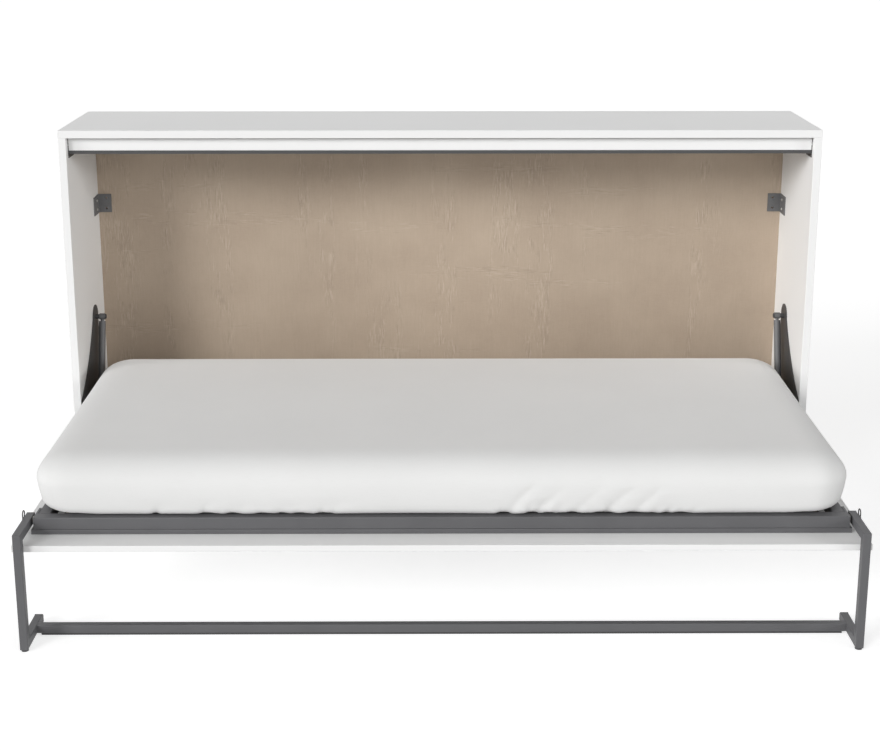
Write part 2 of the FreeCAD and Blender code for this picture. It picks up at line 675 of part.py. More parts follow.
def make_door():
    """The door panel, the steel beam and strips that join it to the bed frame, and their screws."""
    middles = cross_member_middles()
    strips, screws = [], []
    layer = (DOOR_TOP, BEAM_TOP)
    for i, middle in enumerate(middles):
        strips.append(block(f"fixing_strip_{i}", about(middle, "dims.fixing_strip_width"),
                            (BEAM_REAR, "-dims.fixing_strip_rear"), layer))
        for j in range(FIXING_SCREW_ROWS):
            for step in (-1, 1):
                place = (f"{middle} + {step} * dims.fixing_screw_offset",
                         f"{BEAM_REAR} + dims.fixing_screw_front + {j} * {FIXING_SCREW_PITCH}")
                head = rod(f"door_screw_head_{i}_{j}_{step + 1}", "z", "dims.screw_head_radius",
                           (BEAM_TOP, f"{BEAM_TOP} + dims.screw_head"), place)
                shank = rod(f"door_screw_shank_{i}_{j}_{step + 1}", "z", "dims.screw_radius",
                            (f"{DOOR_TOP} - dims.screw_bite", BEAM_TOP), place)
                screws.append(fuse(f"door_screw_{i}_{j}_{step + 1}", [head, shank]))
    door_screws = group("door_screws", screws)
    slots = [block(f"door_slot_{name}",
                   mirrored(sign, f"{FRAME_HALF} - dims.door_slot_gap",
                            f"{ARM_OUTER} + dims.door_slot_gap"),
                   ("-dims.door_slot_depth - dims.door_rear_gap", "0"), (DOOR_BOTTOM, DOOR_TOP))
             for name, sign in SIDES]
    panel = board("door_board", centred(FRONT_HALF), (f"-{DOOR_REACH}", "-dims.door_rear_gap"),
                  (DOOR_BOTTOM, DOOR_TOP))
    beam = rail("door_beam", centred(BEAM_HALF), (f"-{FRAME_REACH}", BEAM_REAR), layer, "x")
    return [cut("door_panel", panel, group("door_cuts", slots + [door_screws])),
            beam, cut("fixing_strips", group("fixing_strip_set", strips), door_screws), door_screws]


def plug(label, x, y, z):
    """A plug that fills the end of a tube along X."""
    inner = [(f"({low}) + dims.tube_wall", f"({high}) - dims.tube_wall") for low, high in (y, z)]
    return block(label, x, *inner)


def make_frame(bolts):
    """The rails of the bed frame and the members across it."""
    height = (BEAM_TOP, FRAME_TOP)
    between = (FRONT_RAIL_REAR, REAR_RAIL_FRONT)
    front_y = (f"-{FRAME_REACH}", FRONT_RAIL_REAR)
    rear_y = (REAR_RAIL_FRONT, "dims.frame_rear")
    beam_y = (f"-{FRAME_REACH}", BEAM_REAR)
    nodes = [rail("front_rail", centred(FRAME_HALF), front_y, height, "x"),
             rail("rear_rail", centred(FRAME_HALF), rear_y, height, "x")]
    plugs = []
    for name, sign in SIDES:
        side = mirrored(sign, f"{FRAME_HALF} - dims.frame_tube", FRAME_HALF)
        tube = rail(f"side_tube_{name}", side, between, height, "y")
        nodes.append(cut(f"side_rail_{name}", tube, bolts))
        end = mirrored(sign, f"{FRAME_HALF} - dims.plug_length", FRAME_HALF)
        beam_end = mirrored(sign, f"{BEAM_HALF} - dims.plug_length", BEAM_HALF)
        plugs += [plug(f"front_plug_{name}", end, front_y, height),
                  plug(f"rear_plug_{name}", end, rear_y, height),
                  plug(f"beam_plug_{name}", beam_end, beam_y, (DOOR_TOP, BEAM_TOP))]
    nodes.append(cut("frame_end_plugs", group("plug_set", plugs), bolts))
    members = [block(f"cross_member_{i}", about(middle, "dims.cross_member_width"), between,
                     upward(BEAM_TOP, "dims.cross_member_height"))
               for i, middle in enumerate(cross_member_middles())]
    nodes.append(group("cross_members", members))
    return nodes


def make_slats():
    """The slats across the bed, and the plastic holders at their ends."""
    slats, holders = [], []
    front, rear = FRONT_RAIL_REAR, REAR_RAIL_FRONT
    for i in range(SLAT_COUNT):
        middle = f"{i - (SLAT_COUNT - 1) / 2} * {SLAT_PITCH}"
        slats.append(block(f"slat_{i}", about(middle, "dims.slat_width"),
                           (f"{front} + dims.slat_end", f"{rear} - dims.slat_end"),
                           (f"{FRAME_TOP} - dims.slat_thickness", FRAME_TOP)))
        ends = ((front, f"{front} + dims.holder_depth"), (f"{rear} - dims.holder_depth", rear))
        for j, end in enumerate(ends):
            holders.append(block(f"holder_{i}_{j}", about(middle, "dims.holder_width"),
                                 end, (f"{FRAME_TOP} - dims.holder_height", FRAME_TOP)))
    slat_set = group("slats", slats)
    return [slat_set, cut("slat_holders", group("holder_set", holders), slat_set)]


def make_bed_fittings(bolts):
    """The arms that carry the bed on its fold hinge, their bushes, and the leg pivots' brackets."""
    nodes, bushes = [], []
    hinge = ("dims.hinge_back", "dims.hinge_height")
    bush_radius = "dims.hinge_pin_radius + dims.running + dims.hinge_bush_wall"
    for name, sign in SIDES:
        span = mirrored(sign, FRAME_HALF, ARM_OUTER)
        bush = rod(f"bush_body_{name}", "x", bush_radius, span, hinge)
        bore = rod(f"bush_bore_{name}", "x", "dims.hinge_pin_radius + dims.running", span, hinge)
        strut_hole = rod(f"arm_strut_hole_{name}", "x", "dims.strut_pin_radius + dims.running",
                         span, (LEVER_Y, LEVER_Z))
        arm = prism(f"arm_blank_{name}", hinge_arm_outline(), span)
        nodes.append(cut(f"hinge_arm_{name}", arm, group(f"arm_holes_{name}", [bush, strut_hole, bolts])))
        bushes.append(cut(f"hinge_bush_{name}", bush, bore))
        across = mirrored(sign, FRAME_HALF, BRACKET_OUTER)
        plate = block(f"pivot_plate_{name}", across, about(PIVOT_Y, "dims.pivot_bracket_width"),
                      (BEAM_TOP, FRAME_TOP))
        hole = rod(f"pivot_plate_hole_{name}", "x", PIVOT_HOLE, across, (PIVOT_Y, PIVOT_Z))
        plate_holes = group(f"pivot_plate_holes_{name}", [hole, bolts])
        nodes.append(cut(f"pivot_bracket_{name}", plate, plate_holes))
    nodes.append(group("hinge_bushes", bushes))
    return nodes


def mattress_levels():
    """The height of each section of the mattress over its underside, and how far it is drawn in."""
    thickness, crown = number("dims.mattress_thickness"), number("dims.mattress_crown")
    top_round, bottom_round = number("dims.mattress_top_round"), number("dims.mattress_bottom_round")
    levels = []
    for i in range(ROUNDING_STEPS + 1):
        angle = math.radians(90 * i / ROUNDING_STEPS)
        levels.append((bottom_round * (1 - math.cos(angle)), bottom_round * (1 - math.sin(angle))))
    for i in range(ROUNDING_STEPS + 1):
        angle = math.radians(90 * i / ROUNDING_STEPS)
        levels.append((thickness - crown - top_round * (1 - math.sin(angle)),
                       top_round * (1 - math.cos(angle))))
    width = number("dims.mattress_crown_width")
    for i in range(1, ROUNDING_STEPS + 1):
        share = i / ROUNDING_STEPS
        levels.append((thickness - crown * (1 - share) ** 2, top_round + width * share))
    return levels


def mattress_section(height, inset):
    """One rounded rectangle of the mattress."""
    half = number("dims.mattress_length / 2") - inset
    shift = number(FRONT)
    low = shift - number(MATTRESS_REACH) + inset
    high = shift + number("dims.frame_rear") - inset
    radius = max(number("dims.mattress_corner") - inset, number("dims.mattress_bottom_round"))
    z = number(f"{FRAME_TOP} + dims.soft_gap") + height
    turn = radius * (1 - math.sqrt(0.5))
    edges = []
    corners = ((half, low, -1, 1), (half, high, -1, -1), (-half, high, 1, -1), (-half, low, 1, 1))
    points = []
    for x, y, inward_x, inward_y in corners:
        along_x = FreeCAD.Vector(x + inward_x * radius, y, z)
        along_y = FreeCAD.Vector(x, y + inward_y * radius, z)
        middle = FreeCAD.Vector(x + inward_x * turn, y + inward_y * turn, z)
        order = (along_x, middle, along_y) if inward_x * inward_y < 0 else (along_y, middle, along_x)
        points.append(order)
    for i, (start, middle, end) in enumerate(points):
        edges.append(Part.Arc(start, middle, end).toShape())
        edges.append(Part.LineSegment(end, points[(i + 1) % len(points)][0]).toShape())
    return Part.Wire(edges)


def make_mattress():
    """The mattress in its fitted sheet: round edges, full sides and a crown."""
    sections = [mattress_section(height, inset) for height, inset in mattress_levels()]
    item = doc.addObject("Part::Feature", "mattress")
    item.Shape = Part.makeLoft(sections, True, True)
    return item


def leg_tube(label, sign, outer, hollow, along):
    """One tube of the leg frame, with its mitred ends."""
    shell = prism(label + "_shell", outer, mirrored(sign, LEG_INNER, LEG_OUTER), along)
    core = prism(label + "_core", hollow,
                 mirrored(sign, f"{LEG_INNER} + dims.tube_wall", f"{LEG_OUTER} - dims.tube_wall"))
    return cut(label, shell, core)


def make_leg_side(name, sign, bush):
    """The upper arm, post and foot arm of one side, mitred at their corners."""
    front, depth, wall = -number(LEG_REACH), number("dims.leg_tube_depth"), number("dims.tube_wall")
    top, low = number(LEG_TOP), number("dims.pad_height")
    arm_rear, foot_rear = number(ARM_REAR), number(FOOT_REAR)
    arm = leg_tube(f"arm_tube_{name}", sign,
                   [(front, top), (arm_rear, top), (arm_rear, top - depth), (front + depth, top - depth)],
                   [(front + wall, top - wall), (arm_rear, top - wall),
                    (arm_rear, top - depth + wall), (front + depth - wall, top - depth + wall)], "y")
    post = leg_tube(f"leg_post_{name}", sign,
                    [(front, top), (front + depth, top - depth),
                     (front + depth, low + depth), (front, low)],
                    [(front + wall, top - wall), (front + depth - wall, top - depth + wall),
                     (front + depth - wall, low + depth - wall), (front + wall, low + wall)], "z")
    foot = leg_tube(f"leg_foot_arm_{name}", sign,
                    [(front, low), (front + depth, low + depth),
                     (foot_rear, low + depth), (foot_rear, low)],
                    [(front + wall, low + wall), (front + depth - wall, low + depth - wall),
                     (foot_rear, low + depth - wall), (foot_rear, low + wall)], "y")
    return [cut(f"leg_upper_arm_{name}", arm, bush), post, foot]


def make_leg():
    """The leg frame: two mitred sides, the bar between their feet, and the caps, glides, pad and bushes."""
    nodes, bushes, caps, glides = [], [], [], []
    pivot = (PIVOT_Y, PIVOT_Z)
    low = ("dims.pad_height", "dims.pad_height + dims.leg_tube_depth")
    foot_rear = number(FOOT_REAR)
    cap, chamfer = number("dims.cap_thickness"), number("dims.cap_chamfer")
    bottom, top = number(low[0]), number(low[1])
    for name, sign in SIDES:
        body = rod(f"pivot_bush_body_{name}", "x", f"{PIVOT_HOLE} + dims.pivot_bush_wall",
                   mirrored(sign, f"{BRACKET_OUTER} + dims.side_gap", LEG_OUTER), pivot)
        bore = rod(f"pivot_bush_bore_{name}", "x", PIVOT_HOLE,
                   mirrored(sign, BRACKET_OUTER, LEG_OUTER), pivot)
        bushes.append(cut(f"pivot_bush_{name}", body, bore))
        nodes += make_leg_side(name, sign, body)
        across = mirrored(sign, LEG_INNER, LEG_OUTER)
        caps.append(block(f"arm_cap_{name}", across, upward(ARM_REAR, "dims.cap_thickness"),
                          (f"{LEG_TOP} - dims.leg_tube_depth", LEG_TOP)))
        tip = foot_rear + cap + chamfer
        caps.append(prism(f"foot_cap_{name}",
                          [(foot_rear, bottom), (tip, bottom), (tip, top - chamfer), (tip - chamfer, top),
                           (foot_rear, top)], across))
        middle = f"{sign} * ({LEG_INNER} + dims.leg_tube_width / 2)"
        for i, y in enumerate((f"dims.glide_inset - {LEG_REACH}", f"{FOOT_REAR} - dims.glide_inset")):
            glides.append(rod(f"glide_{name}_{i}", "z", "dims.glide_radius", ("0", "dims.pad_height"),
                              (middle, y)))
    bar_y = upward(f"dims.crossbar_inset - {LEG_REACH}", "dims.leg_tube_width")
    nodes.append(rail("leg_crossbar", centred(LEG_INNER), bar_y, low, "x"))
    pad_y = (f"{bar_y[0]} + dims.pad_inset", f"{bar_y[1]} - dims.pad_inset")
    nodes.append(block("crossbar_pad", centred(f"({LEG_INNER} - dims.pad_end)"), pad_y,
                       upward("0", "dims.pad_height")))
    return nodes + [group("pivot_bushes", bushes), group("leg_caps", caps), group("leg_glides", glides)]


def make_pull_bolts():
    """The bolt that each side of the leg turns on, with its head and pull loop outside the leg."""
    nodes = []
    pivot = (PIVOT_Y, PIVOT_Z)
    for name, sign in SIDES:
        head_inner = f"({LEG_OUTER} + dims.side_gap)"
        shaft = rod(f"bolt_shaft_{name}", "x", "dims.pivot_bolt_radius",
                    mirrored(sign, f"{FRAME_HALF} + dims.pivot_bolt_tip", head_inner), pivot)
        head = rod(f"bolt_head_{name}", "x", "dims.pivot_head_radius",
                   mirrored(sign, head_inner, f"{head_inner} + dims.pivot_head"), pivot)
        places = {"x": f"{sign} * ({head_inner} + dims.pivot_head / 2)", "y": PIVOT_Y,
                  "z": f"{PIVOT_Z} + dims.loop_rise"}
        loop = turned("Part::Torus", f"bolt_loop_{name}", "x", places)
        loop.setExpression("Radius1", "dims.loop_radius")
        loop.setExpression("Radius2", "dims.loop_wire")
        nodes.append(fuse(f"pull_bolt_{name}", [shaft, head, loop]))
    return nodes


def make_bed():
    """Every node of the part."""
    dowels = make_dowels()
    screws = make_cabinet_screws()
    wall_holes = make_wall_holes()
    hinge_pins = [make_hinge_pin(name, sign) for name, sign in SIDES]
    strut_pins = [make_strut_pin(name, sign) for name, sign in SIDES]
    bolts = make_frame_bolts()
    return (make_carcass(dowels, screws, hinge_pins + strut_pins, wall_holes) + [dowels, screws]
            + make_strip(screws) + make_wall_brackets(screws, wall_holes)
            + make_mechanism(screws, hinge_pins, strut_pins)
            + make_door() + make_frame(bolts) + [bolts] + make_slats() + make_bed_fittings(bolts)
            + [make_mattress()] + make_leg() + make_pull_bolts())


def export(nodes):
    """Writes each node, once every object has been rebuilt without a fault."""
    doc.recompute()
    faults = [item.Name for item in doc.Objects if "Invalid" in item.State or "Error" in item.State]
    faults += [node.Name for node in nodes if node.Shape.isNull() or not node.Shape.isValid()]
    if faults:
        raise RuntimeError(f"these pieces failed: {sorted(set(faults))}")
    os.makedirs("parts", exist_ok=True)
    for node in nodes:
        node.Shape.exportStep(f"parts/{node.Label}.step")
    print(f"{len(nodes)} nodes written")


export(make_bed())
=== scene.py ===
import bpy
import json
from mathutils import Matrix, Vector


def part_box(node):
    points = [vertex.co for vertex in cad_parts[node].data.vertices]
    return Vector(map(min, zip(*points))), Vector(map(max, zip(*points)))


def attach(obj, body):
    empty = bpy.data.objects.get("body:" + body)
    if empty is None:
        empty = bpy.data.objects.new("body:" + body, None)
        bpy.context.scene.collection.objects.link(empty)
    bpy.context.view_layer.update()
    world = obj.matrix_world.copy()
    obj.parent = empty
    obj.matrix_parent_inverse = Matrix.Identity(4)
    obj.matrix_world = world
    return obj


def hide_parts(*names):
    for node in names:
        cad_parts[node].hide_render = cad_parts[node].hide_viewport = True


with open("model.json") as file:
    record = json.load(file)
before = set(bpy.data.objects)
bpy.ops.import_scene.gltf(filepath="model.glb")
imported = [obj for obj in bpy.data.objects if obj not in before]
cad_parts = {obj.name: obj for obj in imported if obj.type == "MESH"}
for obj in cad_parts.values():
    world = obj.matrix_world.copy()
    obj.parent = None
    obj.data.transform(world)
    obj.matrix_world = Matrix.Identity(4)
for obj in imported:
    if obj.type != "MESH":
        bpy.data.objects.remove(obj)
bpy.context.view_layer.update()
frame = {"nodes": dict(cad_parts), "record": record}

# The looks of a horizontal cabinet bed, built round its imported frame. Lengths are in metres.

import json
import math

import bmesh
import bpy
import numpy as np
from mathutils import Vector

MILLIMETRE = 0.001

# Camera, which stands before the bed and looks down a little.
CAMERA_PLACE = (-0.0237, -4.0373, 1.783)
CAMERA_PITCH = 14.217
CAMERA_TURN = -0.299
CAMERA_LENS = 62.94
CAMERA_SHIFT = -0.10

# Studio light from far lamps. A strength is the brightness that a lamp gives to a white face turned
# towards it, and spread is the angle that the lamp fills. Angles are in degrees.
LAMPS = {
    "key": {"azimuth": -38, "elevation": 23, "spread": 20, "strength": 0.45},
    "fill": {"azimuth": 30, "elevation": 14, "spread": 25, "strength": 0.05},
    "left": {"azimuth": -68, "elevation": 11, "spread": 18, "strength": 0.38},
    "right": {"azimuth": 64, "elevation": 12, "spread": 14, "strength": 0.28},
}
LAMP_DISTANCE = 6
AMBIENT = 0.34
FLOOR_SIZE = 120
FLOOR_BOUNCE = 0.80
FLOOR_GLOW = 0.64
FLOOR_SHADE = 0.62

# Mattress in its fitted sheet, which fills the space of the CAD mattress.
BULGE = 0.011
FRONT_BULGE = 0.013
FRONT_PROUD = 0.003
SWELL_POWER = 1.15
CORNER_RADIUS = 0.088
TOP_ROUND = 0.062
BOTTOM_ROUND = 0.024
CROWN = 0.007
CROWN_WIDTH = 0.060
CROWN_POWER = 3
CORNER_LIFT = 0.008
CORNER_LIFT_HEIGHT = 0.096
CORNER_REACH = 0.15
HEM_WIDTH = 0.060
SHEET_THICKNESS = 0.0006

# Grid of the sheet and the core. Its rings run from the hem to the mattress' middle.
SHEET_COLUMNS = 300
SHEET_ROWS = 165
UNDER_RINGS = 8
BOTTOM_RINGS = 6
SIDE_RINGS = 12
TOP_RINGS = 8
CROWN_RINGS = 9
LEAST_RADIUS = 0.0002
MIDDLE_GAP = 0.004

# Foam core inside the sheet, with quilted seams under it.
CORE_GAP = 0.008
CORE_SWELL = 0.4
CORE_EDGE_LIFT = 3 * SHEET_THICKNESS
QUILT_PITCH = 0.11
SEAM_SHARE = 0.13
SEAM_HEIGHT = 3.5 * MILLIMETRE
CORE_WELD = 0.05 * MILLIMETRE

# Elastic cord in the hem.
CORD_RADIUS = 1.3 * MILLIMETRE
CORD_WAVE = 1.2 * MILLIMETRE
CORD_WAVE_STEP = 2.1
CORD_LIFT = 1.2 * MILLIMETRE

# Cloth simulation of the sheet, and how much of its movement is kept.
SIM_FRAMES = 14
SIM_CAP = 0.0025
HELD_RINGS = 2
FADE_RINGS = 5

# Places along the sheet's front, from the bed's middle. An arc is a stretch where the hem lifts.
PINCH = -0.705
LONG_FOLDS = (0.150, 0.226, 0.318, 0.396, 0.464)
HEM_ARCS = (
    (-0.591, -0.557), (-0.529, -0.505), (-0.458, -0.421), (-0.406, -0.383), (-0.364, -0.327),
    (-0.307, -0.275), (0.136, 0.163), (0.208, 0.228), (0.245, 0.270), (0.285, 0.354),
    (0.371, 0.398), (0.408, 0.423), (0.448, 0.517), (0.544, 0.554), (0.571, 0.606))
ARC_LIFT = 0.0038
ARC_HEIGHT = 0.030
RIDGE_STEP = 0.024

# Side, half length and number of the gathers at the ends and the back.
SIDE_GATHERS = ((1, 0.34, 12), (2, 0.82, 30), (3, 0.34, 12))
GATHER_SCATTER = 0.02

# Width, depth, height and lean of each kind of fold. A pair is a range to draw from.
FOLD_KINDS = {
    "pinch": (0.007, 0.004, 0.035, 0.5),
    "long": (0.012, (0.0018, 0.0028), (0.110, 0.135), 0.85),
    "ridge": (0.015, -0.0007, (0.080, 0.100), 0.85),
    "arc_start": ((0.006, 0.009), (0.0012, 0.0026), (0.030, 0.055), (0.3, 0.7)),
    "arc_end": ((0.006, 0.009), (0.0012, 0.0026), (0.030, 0.060), (0.3, 0.7)),
    "gather": ((0.008, 0.016), (0.002, 0.005), (0.030, 0.085), (-0.5, 0.5)),
}
FOLD_SPREAD = 0.6
FOLD_FADE = 0.6
SEED = 7

# Screws with a hexagon socket. Each group has its CAD node, the axis that it lies along, and its
# body. Then follow shares of the head's size, and the limits that a CAD screw is read with.
SCREW_GROUPS = (
    ("cabinet_screws", 0, "cabinet"), ("door_screws", 2, "bed"), ("frame_bolts", 0, "bed"))
SCREW_SIDES = 24
HEAD_PROFILE = ((1.0, 0.0), (1.0, 0.35), (0.94, 0.62), (0.80, 0.84), (0.62, 0.97), (0.50, 1.0))
SOCKET_REACH = 0.46
SOCKET_DEPTH = 0.62
SOCKET_FLOOR = 0.2
TIP_SHARE = 0.4
SHANK_LIMIT = 0.7
RIM_TOLERANCE = 0.1 * MILLIMETRE
SCREW_WELD = 0.001 * MILLIMETRE

# Steel parts that look darker than the rest of their slot.
DARK_NODES = ("mechanism_plate", "fascia_strip", "strip_end", "strut_pin")


# Shading

# Pitch of a wave texture whose scale is 1, and the colour sockets of a mix node.
WAVE_PITCH = math.pi / 10
MIX_INPUTS = (6, 7)
MIX_OUTPUT = 2


class Surface:
    """A procedural material in the making, with short calls for the nodes that feed its shader."""

    def __init__(self, name, colour, roughness, metallic=0.0, specular=0.5):
        self.material = bpy.data.materials.new(name)
        self.material.use_nodes = True
        self.tree = self.material.node_tree
        self.tree.nodes.clear()
        self.shader = self.add("ShaderNodeBsdfPrincipled")
        output = self.add("ShaderNodeOutputMaterial")
        self.link(self.shader.outputs["BSDF"], output.inputs["Surface"])
        self.place = self.add("ShaderNodeTexCoord").outputs["Object"]
        self.set("Base Color", (*colour, 1))
        self.set("Roughness", roughness)
        self.set("Metallic", metallic)
        self.set("Specular IOR Level", specular)
        self.material.diffuse_color = (*colour, 1)

    def add(self, kind):
        return self.tree.nodes.new(kind)

    def link(self, output, socket):
        self.tree.links.new(output, socket)

    def set(self, socket, value):
        self.shader.inputs[socket].default_value = value

    def stretched(self, scale):
        """The object's own coordinates, in cells per metre on each axis."""
        mapping = self.add("ShaderNodeMapping")
        self.link(self.place, mapping.inputs["Vector"])
        mapping.inputs["Scale"].default_value = scale
        return mapping.outputs["Vector"]

    def noise(self, scale, detail=3.0, roughness=0.55, distortion=0.0):
        """Cloudy noise, with its scale in cells per metre: one number, or one for each axis."""
        node = self.add("ShaderNodeTexNoise")
        along = scale if isinstance(scale, tuple) else (scale,) * 3
        self.link(self.stretched(along), node.inputs["Vector"])
        node.inputs["Scale"].default_value = 1
        node.inputs["Detail"].default_value = detail
        node.inputs["Roughness"].default_value = roughness
        node.inputs["Distortion"].default_value = distortion
        return node.outputs["Fac"]

    def stripes(self, axis, pitch, distortion=0.0):
        """Bands across one axis, a pitch apart."""
        node = self.add("ShaderNodeTexWave")
        node.bands_direction = axis
        self.link(self.place, node.inputs["Vector"])
        node.inputs["Scale"].default_value = WAVE_PITCH / pitch
        node.inputs["Distortion"].default_value = distortion
        return node.outputs["Fac"]

    def spread(self, value, low, high, to_low=0.0, to_high=1.0):
        """A value's stretch from low to high, spread over another."""
        node = self.add("ShaderNodeMapRange")
        self.link(value, node.inputs["Value"])
        node.inputs["From Min"].default_value = low
        node.inputs["From Max"].default_value = high
        node.inputs["To Min"].default_value = to_low
        node.inputs["To Max"].default_value = to_high
        return node.outputs["Result"]

    def maths(self, operation, first, second):
        """One operation on two values, each a number or another node's."""
        node = self.add("ShaderNodeMath")
        node.operation = operation
        for socket, value in zip(node.inputs, (first, second)):
            if isinstance(value, (int, float)):
                socket.default_value = value
            else:
                self.link(value, socket)
        return node.outputs["Value"]

    def blend(self, share, first, second):
        """A colour between two, each a colour or another node's."""
        node = self.add("ShaderNodeMix")
        node.data_type = "RGBA"
        self.link(share, node.inputs["Factor"])
        for index, value in zip(MIX_INPUTS, (first, second)):
            if isinstance(value, tuple):
                node.inputs[index].default_value = (*value, 1)
            else:
                self.link(value, node.inputs[index])
        return node.outputs[MIX_OUTPUT]

    def bump(self, height, distance, strength=1.0):
        """Relief of a depth in metres."""
        node = self.add("ShaderNodeBump")
        node.inputs["Distance"].default_value = distance
        node.inputs["Strength"].default_value = strength
        self.link(height, node.inputs["Height"])
        self.link(node.outputs["Normal"], self.shader.inputs["Normal"])

    def colour(self, value):
        self.link(value, self.shader.inputs["Base Color"])

    def rough(self, value):
        self.link(value, self.shader.inputs["Roughness"])


def white_board():
    """White melamine with a faint pearl texture."""
    made = Surface("white_melamine", (0.84, 0.84, 0.835), 0.40, specular=0.25)
    cloud = made.spread(made.noise(2.2), 0.3, 0.7)
    made.colour(made.blend(cloud, (0.83, 0.83, 0.825), (0.85, 0.85, 0.847)))
    pearl = made.noise(850, detail=2.0)
    made.rough(made.spread(pearl, 0.3, 0.7, 0.36, 0.46))
    made.bump(pearl, 0.03 * MILLIMETRE, 0.35)
    return made.material


def back_board():
    """Beige facing like cross-cut oak: columns of short upright flecks, and a few level dashes."""
    made = Surface("beige_facing", (0.45, 0.36, 0.28), 0.55, specular=0.35)
    cloud = made.spread(made.noise(6, detail=4.0), 0.35, 0.68)
    ground = made.blend(cloud, (0.448, 0.356, 0.273), (0.506, 0.410, 0.317))
    fleck = made.noise((330, 1, 34), detail=3.0, roughness=0.6, distortion=0.5)
    column = made.spread(made.noise((11, 1, 0.9), detail=1.0), 0.50, 0.60)
    broken = made.spread(made.noise((40, 1, 13), detail=2.0), 0.44, 0.56)
    group = made.maths("MULTIPLY", column, broken)
    dash = made.noise((34, 1, 420), detail=3.0, roughness=0.6)
    row = made.spread(made.noise((1.6, 1, 14), detail=0.0), 0.60, 0.68)
    broken_row = made.spread(made.noise((13, 1, 60), detail=1.0), 0.48, 0.58)
    dash_group = made.maths("MULTIPLY", row, broken_row)
    dark = made.maths("MULTIPLY", made.spread(fleck, 0.52, 0.62), group)
    pale = made.maths("MULTIPLY", made.spread(fleck, 0.47, 0.38), group)
    level_dark = made.maths("MULTIPLY", made.spread(dash, 0.53, 0.63), dash_group)
    level_pale = made.maths("MULTIPLY", made.spread(dash, 0.47, 0.38), dash_group)
    faint = made.spread(made.noise((240, 1, 16), detail=3.0), 0.35, 0.7, 0.0, 0.22)
    tone = made.blend(faint, ground, (0.395, 0.312, 0.238))
    tone = made.blend(made.maths("MULTIPLY", dark, 0.42), tone, (0.315, 0.248, 0.187))
    tone = made.blend(made.maths("MULTIPLY", pale, 0.50), tone, (0.62, 0.53, 0.43))
    tone = made.blend(made.maths("MULTIPLY", level_dark, 0.36), tone, (0.315, 0.248, 0.187))
    tone = made.blend(made.maths("MULTIPLY", level_pale, 0.40), tone, (0.60, 0.51, 0.41))
    warp = made.noise((900, 1, 70), detail=1.0)
    weft = made.noise((70, 1, 900), detail=1.0)
    weave = made.maths("ADD", warp, weft)
    tone = made.blend(made.spread(weave, 0.8, 1.2, 0.0, 0.16), tone, (0.58, 0.48, 0.38))
    made.colour(tone)
    made.rough(made.spread(weave, 0.8, 1.2, 0.48, 0.62))
    made.bump(weave, 0.08 * MILLIMETRE, 0.5)
    return made.material


def wood(name, light, dark, along, pitch=None):
    """Varnished wood with its grain along one axis, and with veneer layers a pitch apart."""
    made = Surface(name, light, 0.42, specular=0.4)
    scale = tuple(6 if axis == along else 190 for axis in "xyz")
    rings = tuple(1.5 if axis == along else 24 for axis in "xyz")
    grain = made.noise(scale, detail=4.0, roughness=0.6)
    figure = made.noise(rings, detail=2.0, distortion=0.8)
    tone = made.blend(made.spread(grain, 0.35, 0.7), light, dark)
    streak = made.spread(figure, 0.35, 0.75, 0.0, 0.45)
    tone = made.blend(streak, tone, tuple(0.82 * c for c in light))
    if pitch:
        layer = made.spread(made.stripes("Z", pitch), 0.45, 0.55, 0.0, 0.5)
        tone = made.blend(layer, tone, tuple(0.55 * c for c in dark))
    made.colour(tone)
    made.rough(made.spread(grain, 0.3, 0.7, 0.36, 0.52))
    made.bump(grain, 0.05 * MILLIMETRE, 0.4)
    return made.material


def powder_coat(name, colour, roughness):
    """Powder-coated steel: fine orange peel, with a little more shine where it is smooth."""
    made = Surface(name, colour, roughness, specular=0.42)
    peel = made.noise(1100, detail=3.0, roughness=0.6)
    cloud = made.noise(9, detail=2.0)
    made.colour(made.blend(made.spread(cloud, 0.3, 0.7), tuple(0.95 * c for c in colour),
                           tuple(1.05 * c for c in colour)))
    made.rough(made.spread(peel, 0.3, 0.7, roughness - 0.06, roughness + 0.08))
    made.bump(peel, 0.06 * MILLIMETRE, 0.45)
    return made.material


def metal(name, colour, roughness, spangle=0.0):
    """Bare or plated metal, brushed faintly or with a spangle."""
    made = Surface(name, colour, roughness, metallic=1.0)
    brushed = made.noise((60, 900, 900), detail=2.0)
    patch = made.noise(140, detail=1.0, distortion=1.2)
    made.colour(made.blend(made.spread(patch, 0.35, 0.65, 0.0, spangle), colour,
                           tuple(0.72 * c for c in colour)))
    made.rough(made.spread(brushed, 0.3, 0.7, 0.8 * roughness, 1.25 * roughness))
    made.bump(brushed, 0.01 * MILLIMETRE, 0.3)
    return made.material


def satin_paint():
    """Dark satin paint of the strut cylinders."""
    made = Surface("strut_paint", (0.14, 0.14, 0.143), 0.50, specular=0.4)
    peel = made.noise(420, detail=2.0)
    made.rough(made.spread(peel, 0.3, 0.7, 0.44, 0.58))
    made.bump(peel, 0.02 * MILLIMETRE, 0.4)
    return made.material


def plastic(name, colour, roughness, grain):
    """Moulded plastic with a spark-eroded grain."""
    made = Surface(name, colour, roughness, specular=0.4)
    spark = made.noise(grain, detail=3.0, roughness=0.7)
    made.colour(made.blend(made.spread(spark, 0.3, 0.7), tuple(0.9 * c for c in colour), colour))
    made.rough(made.spread(spark, 0.3, 0.7, roughness - 0.08, roughness + 0.1))
    made.bump(spark, 0.05 * MILLIMETRE, 0.5)
    return made.material


